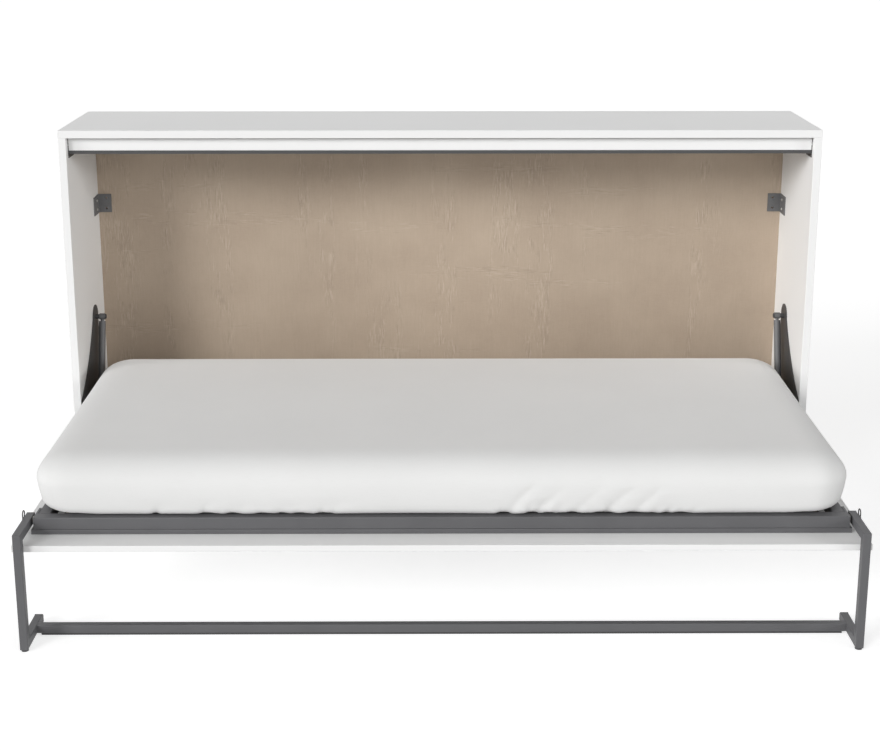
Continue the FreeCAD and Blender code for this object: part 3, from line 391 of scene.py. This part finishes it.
def cotton():
    """The fitted sheet's fine white cotton."""
    made = Surface("white_cotton", (0.76, 0.76, 0.753), 0.85, specular=0.2)
    made.set("Sheen Weight", 0.4)
    made.set("Sheen Roughness", 0.5)
    cloud = made.noise(3.0, detail=3.0)
    slub = made.noise((45, 900, 900), detail=2.0)
    tone = made.blend(made.spread(cloud, 0.3, 0.7), (0.75, 0.75, 0.743), (0.774, 0.774, 0.767))
    made.colour(made.blend(made.spread(slub, 0.55, 0.7, 0.0, 0.25), tone, (0.70, 0.70, 0.69)))
    warp = made.stripes("X", 0.55 * MILLIMETRE, 0.6)
    weft = made.stripes("Y", 0.55 * MILLIMETRE, 0.6)
    upright = made.stripes("Z", 0.55 * MILLIMETRE, 0.6)
    weave = made.maths("ADD", made.maths("ADD", warp, weft), upright)
    crumple = made.noise(22, detail=4.0, roughness=0.5)
    relief = made.maths("ADD", made.maths("MULTIPLY", weave, 0.06), crumple)
    made.bump(relief, 1.1 * MILLIMETRE, 0.30)
    return made.material


def ticking():
    """The mattress' own knitted cover, seen from below."""
    made = Surface("mattress_ticking", (0.70, 0.69, 0.66), 0.9, specular=0.2)
    made.set("Sheen Weight", 0.2)
    rib = made.stripes("X", 2.2 * MILLIMETRE, 0.4)
    loop = made.stripes("Y", 1.4 * MILLIMETRE, 0.4)
    knit = made.maths("MULTIPLY", rib, loop)
    made.colour(made.blend(made.spread(knit, 0.2, 0.8), (0.62, 0.61, 0.58), (0.74, 0.73, 0.70)))
    made.bump(knit, 0.35 * MILLIMETRE, 0.6)
    return made.material


def elastic():
    """The ribbed elastic in the sheet's hem."""
    made = Surface("hem_elastic", (0.78, 0.78, 0.77), 0.8, specular=0.2)
    rib = made.noise(900, detail=1.0)
    made.colour(made.blend(made.spread(rib, 0.3, 0.7), (0.66, 0.66, 0.65), (0.82, 0.82, 0.81)))
    made.bump(rib, 0.3 * MILLIMETRE, 0.7)
    return made.material


def slot_materials():
    """The finish of each of the record's material slots."""
    return {
        "white_board": white_board(),
        "back_board": back_board(),
        "batten_wood": wood("spruce_batten", (0.64, 0.47, 0.29), (0.50, 0.34, 0.19), "x"),
        "slat_wood": wood("birch_plywood", (0.66, 0.50, 0.32), (0.56, 0.40, 0.23), "y",
                          pitch=1.6 * MILLIMETRE),
        "dowel_wood": wood("beech_dowel", (0.58, 0.42, 0.27), (0.48, 0.33, 0.20), "z"),
        "anthracite_steel": powder_coat("anthracite_powder_coat", (0.106, 0.106, 0.111), 0.50),
        "bracket_steel": powder_coat("bracket_coat", (0.155, 0.155, 0.158), 0.45),
        "bright_steel": metal("zinc_plate", (0.66, 0.66, 0.65), 0.32, 0.6),
        "strut_paint": satin_paint(),
        "strut_chrome": metal("hard_chrome", (0.78, 0.78, 0.79), 0.10),
        "black_steel": powder_coat("black_bolt_coat", (0.05, 0.05, 0.052), 0.38),
        "black_plastic": plastic("black_plastic", (0.055, 0.055, 0.057), 0.5, 1400),
        "nylon": plastic("natural_nylon", (0.72, 0.70, 0.63), 0.45, 800),
        "sheet_fabric": cotton(),
    }


def dress_frame(materials):
    """Gives every CAD node the finish of its slot, and some steel parts a darker coat."""
    dark = powder_coat("dark_plate_coat", (0.062, 0.062, 0.063), 0.48)
    for part in frame["record"]["subparts"]:
        node = frame["nodes"][part["node"]]
        node.data.materials.clear()
        finish = dark if part["node"].startswith(DARK_NODES) else materials[part["material_slot"]]
        node.data.materials.append(finish)


# Mattress

def rounded_side(share, half, reach, radius):
    """Points along one side of a rounded rectangle, between the middles of its two corners.

    The first result runs along the side, the second out from the rectangle's middle."""
    eighth = math.pi / 4 * radius
    straight = 2 * (half - radius)
    length = share * (2 * eighth + straight)
    first = np.clip(math.pi / 4 - length / radius, 0, math.pi / 4)
    last = np.clip((length - eighth - straight) / radius, 0, math.pi / 4)
    along = np.clip(length - eighth, 0, straight) - (half - radius)
    out = reach - radius + radius * np.cos(first + last)
    return along + radius * (np.sin(last) - np.sin(first)), out


class Levels:
    """The rings of a padded form, from its hem to its middle: inset, height and share of bulge."""

    def __init__(self, low, high, gap=0.0):
        self.middle = ((low.x + high.x) / 2, (low.y + high.y) / 2)
        self.half = ((high.x - low.x) / 2, (high.y - low.y) / 2 + FRONT_PROUD)
        bottom, top = low.z, high.z
        edge = BOTTOM_ROUND + HEM_WIDTH
        rings = [(inset, bottom)
                 for inset in np.linspace(edge, BOTTOM_ROUND, UNDER_RINGS, endpoint=False)]
        for turn in np.linspace(0, math.pi / 2, BOTTOM_RINGS, endpoint=False):
            rings.append((BOTTOM_ROUND * (1 - math.sin(turn)),
                          bottom + BOTTOM_ROUND * (1 - math.cos(turn))))
        steepest = math.atan(CROWN_POWER * CROWN / CROWN_WIDTH)
        last_turn = math.pi / 2 - steepest
        shoulder = top - CROWN - TOP_ROUND * math.sin(last_turn)
        rings += [(0.0, z)
                  for z in np.linspace(bottom + BOTTOM_ROUND, shoulder, SIDE_RINGS, endpoint=False)]
        for turn in np.linspace(0, last_turn, TOP_RINGS, endpoint=False):
            rings.append((TOP_ROUND * (1 - math.cos(turn)), shoulder + TOP_ROUND * math.sin(turn)))
        crown_start = TOP_ROUND * (1 - math.cos(last_turn))
        for share in np.linspace(0, 1, CROWN_RINGS, endpoint=False):
            rings.append((crown_start + CROWN_WIDTH * share,
                          top - CROWN * (1 - share) ** CROWN_POWER))
        left = SHEET_ROWS // 2 + 1 - len(rings)
        last = self.half[1] - MIDDLE_GAP
        rings += [(inset, top) for inset in np.linspace(crown_start + CROWN_WIDTH, last, left)]
        self.inset = np.array([ring[0] for ring in rings])
        self.height = np.array([ring[1] for ring in rings])
        rise = np.clip((self.height - bottom) / (top - bottom), 0, 1)
        self.swell = np.sin(math.pi * rise ** SWELL_POWER)
        self.swell[self.inset > TOP_ROUND] = 0
        self.inset = self.inset + gap


def ring_grid(levels, columns, rows):
    """The points of a quad grid with its concentric rings at the levels.

    Also gives each point's ring, side and place along it: 0 front, 1 right, 2 back, 3 left."""
    i, j = np.meshgrid(np.arange(columns + 1), np.arange(rows + 1), indexing="ij")
    ring = np.minimum(np.minimum(i, columns - i), np.minimum(j, rows - j))
    inset, height, swell = levels.inset[ring], levels.height[ring], levels.swell[ring]
    radius = np.maximum(CORNER_RADIUS - inset, LEAST_RADIUS)
    long_side = (ring == j) | (ring == rows - j)
    half_x = levels.half[0] - inset + BULGE * swell
    half_y = levels.half[1] - inset + FRONT_BULGE * swell
    long_share = (i - ring) / np.maximum(columns - 2 * ring, 1)
    short_share = (j - ring) / np.maximum(rows - 2 * ring, 1)
    along, out = rounded_side(
        np.where(long_side, long_share, short_share),
        np.where(long_side, half_x, half_y), np.where(long_side, half_y, half_x), radius)
    near = np.where(long_side, ring == j, ring == i)
    sign = np.where(near, -1, 1)
    x = np.where(long_side, along, sign * out) + levels.middle[0]
    y = np.where(long_side, sign * out, along) + levels.middle[1]
    side = np.where(long_side, np.where(near, 0, 2), np.where(near, 3, 1))
    points = np.stack([x, y, height], axis=-1).reshape(-1, 3)
    return points, ring.reshape(-1), side.reshape(-1), along.reshape(-1)


def grid_faces(columns, rows, flip=False):
    """The quads of a grid, row by row."""
    index = np.arange((columns + 1) * (rows + 1)).reshape(columns + 1, rows + 1)
    corners = [index[:-1, :-1], index[1:, :-1], index[1:, 1:], index[:-1, 1:]]
    quads = np.stack(corners, axis=-1).reshape(-1, 4)
    return quads[:, ::-1] if flip else quads


def new_mesh(name, points, faces, material, smooth=True):
    """A new object of one material."""
    mesh = bpy.data.meshes.new(name)
    mesh.from_pydata([tuple(point) for point in points], [], [tuple(face) for face in faces])
    mesh.polygons.foreach_set("use_smooth", [smooth] * len(mesh.polygons))
    mesh.materials.append(material)
    mesh.update()
    piece = bpy.data.objects.new(name, mesh)
    bpy.context.scene.collection.objects.link(piece)
    return piece


def coordinates(mesh):
    """The mesh's points, as rows."""
    flat = np.zeros(len(mesh.vertices) * 3)
    mesh.vertices.foreach_get("co", flat)
    return flat.reshape(-1, 3)


def applied(piece):
    """Bakes the piece's modifiers into its mesh."""
    graph = bpy.context.evaluated_depsgraph_get()
    mesh = bpy.data.meshes.new_from_object(piece.evaluated_get(graph))
    old = piece.data
    piece.modifiers.clear()
    piece.data = mesh
    bpy.data.meshes.remove(old)
    mesh.name = piece.name
    return piece


def one_fold(draw, side, place, kind):
    """A fold of one kind, with its ranges drawn in their order."""
    shape = [draw.uniform(*value) if isinstance(value, tuple) else value
             for value in FOLD_KINDS[kind]]
    return (side, place, *shape)


def fold_list():
    """The sheet's folds: side, place along it, width, depth, height and lean."""
    draw = np.random.default_rng(SEED)
    folds = [one_fold(draw, 0, PINCH, "pinch")]
    for place in LONG_FOLDS:
        folds.append(one_fold(draw, 0, place, "long"))
        folds.append(one_fold(draw, 0, place + RIDGE_STEP, "ridge"))
    for start, end in HEM_ARCS:
        folds.append(one_fold(draw, 0, start, "arc_start"))
        folds.append(one_fold(draw, 0, end, "arc_end"))
    for side, half, count in SIDE_GATHERS:
        for place in np.linspace(-half, half, count):
            scatter = draw.uniform(-GATHER_SCATTER, GATHER_SCATTER)
            folds.append(one_fold(draw, side, place + scatter, "gather"))
    return folds


def smooth(share):
    """A share between 0 and 1, eased at both ends."""
    return share * share * (3 - 2 * share)


def fold_depths(side, along, rise):
    """How far each point of the sheet is drawn in by the folds."""
    depth = np.zeros(len(along))
    for at_side, place, width, deep, height, lean in fold_list():
        near = side == at_side
        level = rise[near] / height
        spot = (along[near] - place - lean * rise[near]) / (width * (1 + FOLD_SPREAD * level))
        fade = np.clip((1 - level) / FOLD_FADE, 0, 1)
        depth[near] += deep * np.exp(-spot ** 2) * smooth(fade)
    return depth


def hem_lifts(side, along, rise):
    """How far the sheet's lower edge lifts between its gathers."""
    lift = np.zeros(len(along))
    fade = np.clip(1 - rise / ARC_HEIGHT, 0, 1)
    for start, end in HEM_ARCS:
        share = (along - start) / (end - start)
        inside = (side == 0) & (share > 0) & (share < 1)
        lift[inside] += ARC_LIFT * np.sin(math.pi * share[inside]) * fade[inside]
    return lift


def corner_lifts(points, levels, rise):
    """How far the sheet pulls up from the frame at the mattress' corners."""
    reach = np.abs(points[:, :2] - levels.middle) - np.array(levels.half) + CORNER_REACH
    near = np.clip(reach / CORNER_REACH, 0, 1).prod(axis=1)
    return CORNER_LIFT * near * smooth(np.clip(1 - rise / CORNER_LIFT_HEIGHT, 0, 1))


def point_normals(mesh):
    """The direction that the mesh faces at each point, as rows."""
    flat = np.zeros(len(mesh.vertices) * 3)
    mesh.vertex_normals.foreach_get("vector", flat)
    return flat.reshape(-1, 3)


def settle(piece, ring):
    """Lets the cloth settle under a light pressure from inside, held at its hem and its flat top.

    The even part of each ring's outward movement is taken out again, to keep the sheet's form."""
    shoulder = UNDER_RINGS + BOTTOM_RINGS + SIDE_RINGS
    inner = shoulder + TOP_RINGS + CROWN_RINGS
    start, normals = coordinates(piece.data), point_normals(piece.data)
    held = piece.vertex_groups.new(name="held")
    held.add(np.nonzero((ring < HELD_RINGS) | (ring > inner))[0].tolist(), 1.0, "REPLACE")
    cloth = piece.modifiers.new("cloth", "CLOTH")
    settings = cloth.settings
    settings.quality = 4
    settings.mass = 0.25
    settings.tension_stiffness = 20
    settings.compression_stiffness = 12
    settings.shear_stiffness = 10
    settings.bending_stiffness = 0.4
    settings.air_damping = 4
    settings.use_pressure = True
    settings.uniform_pressure_force = 1.0
    settings.vertex_group_mass = "held"
    settings.effector_weights.gravity = 0
    cloth.collision_settings.use_collision = False
    cloth.point_cache.frame_start = 1
    cloth.point_cache.frame_end = SIM_FRAMES
    for step in range(1, SIM_FRAMES + 1):
        bpy.context.scene.frame_set(step)
    graph = bpy.context.evaluated_depsgraph_get()
    moved = coordinates(piece.evaluated_get(graph).data) - start
    piece.modifiers.clear()
    piece.vertex_groups.clear()
    bpy.context.scene.frame_set(1)
    outward = (moved * normals).sum(axis=1)
    mean = np.bincount(ring, outward) / np.bincount(ring)
    moved -= normals * mean[ring][:, None]
    reach = np.linalg.norm(moved, axis=1)
    rising = np.clip((ring - 1) / FADE_RINGS, 0, 1)
    falling = np.clip((shoulder + TOP_RINGS - ring) / TOP_RINGS, 0, 1)
    moved *= (rising * falling / (1 + reach / SIM_CAP))[:, None]
    piece.data.vertices.foreach_set("co", (start + moved).ravel())
    piece.data.update()


def make_sheet(low, high, material):
    """The fitted sheet: one cloth over the top and sides, gathered under the mattress.

    Also gives the points of its hem and the levels of its rings."""
    floor_z = low.z
    levels = Levels(low, high)
    points, ring, side, along = ring_grid(levels, SHEET_COLUMNS, SHEET_ROWS)
    sheet = new_mesh("fitted_sheet", points, grid_faces(SHEET_COLUMNS, SHEET_ROWS), material)
    rise = np.clip(points[:, 2] - floor_z, 0, None)
    folded = points - point_normals(sheet.data) * fold_depths(side, along, rise)[:, None]
    folded[:, 2] += hem_lifts(side, along, rise) + corner_lifts(points, levels, rise)
    sheet.data.vertices.foreach_set("co", folded.ravel())
    sheet.data.update()
    settle(sheet, ring)
    co = coordinates(sheet.data)
    co[:, 2] = np.maximum(co[:, 2], floor_z + SHEET_THICKNESS / 2)
    limit = levels.half[0] + BULGE
    co[:, 0] = np.clip(co[:, 0], levels.middle[0] - limit, levels.middle[0] + limit)
    sheet.data.vertices.foreach_set("co", co.ravel())
    sheet.data.update()
    hem = co[ring == 0]
    thick = sheet.modifiers.new("cloth", "SOLIDIFY")
    thick.thickness = SHEET_THICKNESS
    thick.offset = -1
    thick.use_rim = True
    return applied(sheet), hem, levels


def in_order_around(points):
    """Points of a ring sorted by their bearing from its middle."""
    middle = points.mean(axis=0)
    return points[np.argsort(np.arctan2(points[:, 1] - middle[1], points[:, 0] - middle[0]))]


def make_hem(hem, material):
    """The elastic cord in the sheet's hem, which follows its gathers."""
    ordered = in_order_around(hem)[::2]
    line = bpy.data.curves.new("hem_elastic", "CURVE")
    line.dimensions = "3D"
    line.bevel_depth = CORD_RADIUS
    line.bevel_resolution = 2
    spline = line.splines.new("POLY")
    spline.points.add(len(ordered) - 1)
    for index, point in enumerate(ordered):
        wave = CORD_WAVE * math.sin(index * CORD_WAVE_STEP)
        spline.points[index].co = (point[0], point[1] + wave, point[2] + CORD_LIFT, 1)
    spline.use_cyclic_u = True
    line.materials.append(material)
    cord = bpy.data.objects.new("hem_elastic", line)
    bpy.context.scene.collection.objects.link(cord)
    mesh = bpy.data.meshes.new_from_object(cord)
    piece = bpy.data.objects.new("hem_elastic_cord", mesh)
    bpy.context.scene.collection.objects.link(piece)
    bpy.data.objects.remove(cord)
    return piece


def core_top(low, high):
    """The points of the core's top and sides, which lie inside the sheet."""
    levels = Levels(low, high, CORE_GAP)
    levels.swell *= CORE_SWELL
    levels.height = np.minimum(levels.height, high.z - CORE_GAP)
    points = ring_grid(levels, SHEET_COLUMNS, SHEET_ROWS)[0]
    points[:, 2] = np.clip(points[:, 2], low.z + CORE_EDGE_LIFT, None)
    return points


def core_underside(low, high):
    """The points of the core's flat underside, with crossed quilt seams drawn in."""
    levels = Levels(low, high, CORE_GAP)
    last = levels.half[1] - MIDDLE_GAP
    levels.inset = np.linspace(levels.inset[0], last, SHEET_ROWS // 2 + 1)
    levels.height = np.full(len(levels.inset), low.z + SHEET_THICKNESS)
    levels.height[0] = low.z + CORE_EDGE_LIFT
    levels.swell = np.zeros(len(levels.inset))
    points, ring, _, _ = ring_grid(levels, SHEET_COLUMNS, SHEET_ROWS)
    across = np.sin(math.pi * (points[:, 0] + points[:, 1]) / QUILT_PITCH)
    down = np.sin(math.pi * (points[:, 0] - points[:, 1]) / QUILT_PITCH)
    seam = np.exp(-(across / SEAM_SHARE) ** 2) + np.exp(-(down / SEAM_SHARE) ** 2)
    points[:, 2] += np.where(ring > 1, SEAM_HEIGHT * np.clip(seam, 0, 1), 0)
    return points


def make_core(low, high, material):
    """The foam mattress in its quilted cover, inside the sheet and open to view from below."""
    upper, lower = core_top(low, high), core_underside(low, high)
    points = np.concatenate([upper, lower])
    under_faces = grid_faces(SHEET_COLUMNS, SHEET_ROWS, flip=True) + len(upper)
    faces = np.concatenate([grid_faces(SHEET_COLUMNS, SHEET_ROWS), under_faces])
    core = new_mesh("mattress_core", points, faces, material)
    shape = bmesh.new()
    shape.from_mesh(core.data)
    bmesh.ops.remove_doubles(shape, verts=shape.verts, dist=CORE_WELD)
    shape.to_mesh(core.data)
    shape.free()
    core.data.polygons.foreach_set("use_smooth", [True] * len(core.data.polygons))
    core.data.update()
    return core


def make_mattress(materials):
    """Core, sheet and hem, which together stand for the CAD mattress."""
    low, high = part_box("mattress")
    core = make_core(low, high, ticking())
    sheet, hem, levels = make_sheet(low, high, materials["sheet_fabric"])
    cord = make_hem(hem, elastic())
    for piece in (core, sheet, cord):
        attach(piece, "bed")
    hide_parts("mattress")


# Screws

def node_solids(name):
    """The separate solids of a CAD node, each as its points, in the order of the node's mesh."""
    shape = bmesh.new()
    shape.from_mesh(frame["nodes"][name].data)
    bmesh.ops.remove_doubles(shape, verts=shape.verts, dist=SCREW_WELD)
    shape.verts.index_update()
    seen = set()
    solids = []
    for first in shape.verts:
        if first.index in seen:
            continue
        seen.add(first.index)
        stack, found = [first], []
        while stack:
            vert = stack.pop()
            found.append(vert.co.copy())
            for edge in vert.link_edges:
                other = edge.other_vert(vert)
                if other.index not in seen:
                    seen.add(other.index)
                    stack.append(other)
        solids.append(np.array(found))
    shape.free()
    return solids


def hex_radius(turn, reach):
    """The radius of a hexagon's edge in one direction."""
    sector = math.pi / 3
    return reach * math.cos(sector / 2) / math.cos(turn % sector - sector / 2)


def screw_rings(head_radius, head_height, shank_radius, shank_length):
    """The rings of a socket screw along its own axis, from its tip to the floor of its socket."""
    turns = [2 * math.pi * index / SCREW_SIDES for index in range(SCREW_SIDES)]
    rings = [(-shank_length, [shank_radius * TIP_SHARE] * SCREW_SIDES),
             (-shank_length + shank_radius, [shank_radius] * SCREW_SIDES),
             (0.0, [shank_radius] * SCREW_SIDES)]
    for share, rise in HEAD_PROFILE:
        rings.append((head_height * rise, [head_radius * share] * SCREW_SIDES))
    socket = [hex_radius(turn, head_radius * SOCKET_REACH) for turn in turns]
    socket_floor = head_height * (1 - SOCKET_DEPTH)
    rings += [(head_height, socket), (socket_floor, socket),
              (socket_floor, [radius * SOCKET_FLOOR for radius in socket])]
    return turns, rings


def add_screw(points, faces, foot, direction, sizes):
    """Adds one screw whose head rests at foot and looks along direction."""
    turns, rings = screw_rings(*sizes)
    first = len(points)
    turn_to = Vector((0, 0, 1)).rotation_difference(Vector(direction))
    for height, radii in rings:
        for turn, radius in zip(turns, radii):
            spot = Vector((radius * math.cos(turn), radius * math.sin(turn), height))
            points.append(Vector(foot) + turn_to @ spot)
    for ring in range(len(rings) - 1):
        low = first + ring * SCREW_SIDES
        high = low + SCREW_SIDES
        for index in range(SCREW_SIDES):
            following = (index + 1) % SCREW_SIDES
            faces.append((low + index, low + following, high + following, high + index))
    last = first + (len(rings) - 1) * SCREW_SIDES
    faces.append(tuple(range(last, last + SCREW_SIDES)))
    faces.append(tuple(range(first + SCREW_SIDES - 1, first - 1, -1)))


def dress_screws(node, axis, body, material):
    """Socket screws in place of a node's plain ones. The wider end of each solid is its head."""
    points, faces = [], []
    across = [index for index in range(3) if index != axis]
    for solid in node_solids(node):
        low, high = solid.min(axis=0), solid.max(axis=0)
        middle = (low + high) / 2
        reach = np.hypot(*(solid[:, across] - middle[across]).T)
        head = solid[reach > reach.max() - RIM_TOLERANCE, axis]
        shank = solid[reach < reach.max() * SHANK_LIMIT]
        shank_radius = np.hypot(*(shank[:, across] - middle[across]).T).max()
        outward = 1 if head.mean() > middle[axis] else -1
        foot = middle.copy()
        foot[axis] = head.min() if outward > 0 else head.max()
        direction = [0, 0, 0]
        direction[axis] = outward
        head_height = head.max() - head.min()
        length = (high[axis] - low[axis]) - head_height
        add_screw(points, faces, foot, direction, (reach.max(), head_height, shank_radius, length))
    piece = new_mesh(node + "_socket_heads", points, faces, material, smooth=False)
    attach(piece, body)
    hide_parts(node)


# Stage

def floor_material():
    """A floor that looks white and keeps the object's shadow, and is plain pale grey to light."""
    material = bpy.data.materials.new("studio_floor")
    material.use_nodes = True
    tree = material.node_tree
    tree.nodes.clear()
    output = tree.nodes.new("ShaderNodeOutputMaterial")
    choose = tree.nodes.new("ShaderNodeMixShader")
    tree.links.new(seen_directly(tree), choose.inputs["Fac"])
    plain = tree.nodes.new("ShaderNodeBsdfDiffuse")
    plain.inputs["Color"].default_value = (FLOOR_BOUNCE, FLOOR_BOUNCE, FLOOR_BOUNCE, 1)
    shown = tree.nodes.new("ShaderNodeAddShader")
    glow = tree.nodes.new("ShaderNodeEmission")
    glow.inputs["Strength"].default_value = FLOOR_GLOW
    shaded = tree.nodes.new("ShaderNodeBsdfDiffuse")
    shaded.inputs["Color"].default_value = (FLOOR_SHADE, FLOOR_SHADE, FLOOR_SHADE, 1)
    tree.links.new(glow.outputs["Emission"], shown.inputs[0])
    tree.links.new(shaded.outputs["BSDF"], shown.inputs[1])
    tree.links.new(plain.outputs["BSDF"], choose.inputs[1])
    tree.links.new(shown.outputs["Shader"], choose.inputs[2])
    tree.links.new(choose.outputs["Shader"], output.inputs["Surface"])
    return material


def seen_directly(tree):
    """1 for rays from the camera, and for those seen in a reflection or through a clear thing."""
    path = tree.nodes.new("ShaderNodeLightPath")
    total = path.outputs["Is Camera Ray"]
    for name in ("Is Glossy Ray", "Is Transmission Ray"):
        larger = tree.nodes.new("ShaderNodeMath")
        larger.operation = "MAXIMUM"
        tree.links.new(total, larger.inputs[0])
        tree.links.new(path.outputs[name], larger.inputs[1])
        total = larger.outputs["Value"]
    return total


def make_world():
    """A world that looks white and gives a weaker, even light."""
    world = bpy.data.worlds.new("studio")
    world.use_nodes = True
    tree = world.node_tree
    tree.nodes.clear()
    output = tree.nodes.new("ShaderNodeOutputWorld")
    choose = tree.nodes.new("ShaderNodeMixShader")
    light = tree.nodes.new("ShaderNodeBackground")
    light.inputs["Strength"].default_value = AMBIENT
    white = tree.nodes.new("ShaderNodeBackground")
    white.inputs["Color"].default_value = (1, 1, 1, 1)
    light.inputs["Color"].default_value = (1, 1, 1, 1)
    tree.links.new(seen_directly(tree), choose.inputs["Fac"])
    tree.links.new(light.outputs["Background"], choose.inputs[1])
    tree.links.new(white.outputs["Background"], choose.inputs[2])
    tree.links.new(choose.outputs["Shader"], output.inputs["Surface"])
    bpy.context.scene.world = world


def make_lamps():
    """Sun lamps, which light the floor evenly out to its far edge."""
    for name, lamp in LAMPS.items():
        data = bpy.data.lights.new(name, "SUN")
        data.angle = math.radians(lamp["spread"])
        data.energy = lamp["strength"] * math.pi
        turn, lift = math.radians(lamp["azimuth"]), math.radians(lamp["elevation"])
        level = math.cos(lift)
        away = Vector((math.sin(turn) * level, -math.cos(turn) * level, math.sin(lift)))
        light = bpy.data.objects.new(name, data)
        light.location = away * LAMP_DISTANCE
        light.rotation_euler = (-away).to_track_quat("-Z", "Y").to_euler()
        bpy.context.scene.collection.objects.link(light)


def make_stage():
    """The floor, the world and the lamps."""
    half = FLOOR_SIZE / 2
    corners = [(-half, -half, 0), (half, -half, 0), (half, half, 0), (-half, half, 0)]
    floor = new_mesh("floor", corners, [(0, 1, 2, 3)], floor_material(), smooth=False)
    make_world()
    make_lamps()


def make_camera():
    """The camera, turned down by its pitch from the level."""
    data = bpy.data.cameras.new("camera")
    data.lens = CAMERA_LENS
    data.shift_y = CAMERA_SHIFT
    camera = bpy.data.objects.new("camera", data)
    camera.location = CAMERA_PLACE
    camera.rotation_euler = (math.radians(90 - CAMERA_PITCH), 0, math.radians(CAMERA_TURN))
    bpy.context.scene.collection.objects.link(camera)
    bpy.context.scene.camera = camera


def main():
    bpy.context.scene.view_settings.view_transform = "Standard"
    make_camera()
    materials = slot_materials()
    dress_frame(materials)
    make_mattress(materials)
    slots = {part["node"]: part["material_slot"] for part in frame["record"]["subparts"]}
    for node, axis, body in SCREW_GROUPS:
        dress_screws(node, axis, body, materials[slots[node]])
    make_stage()


main()
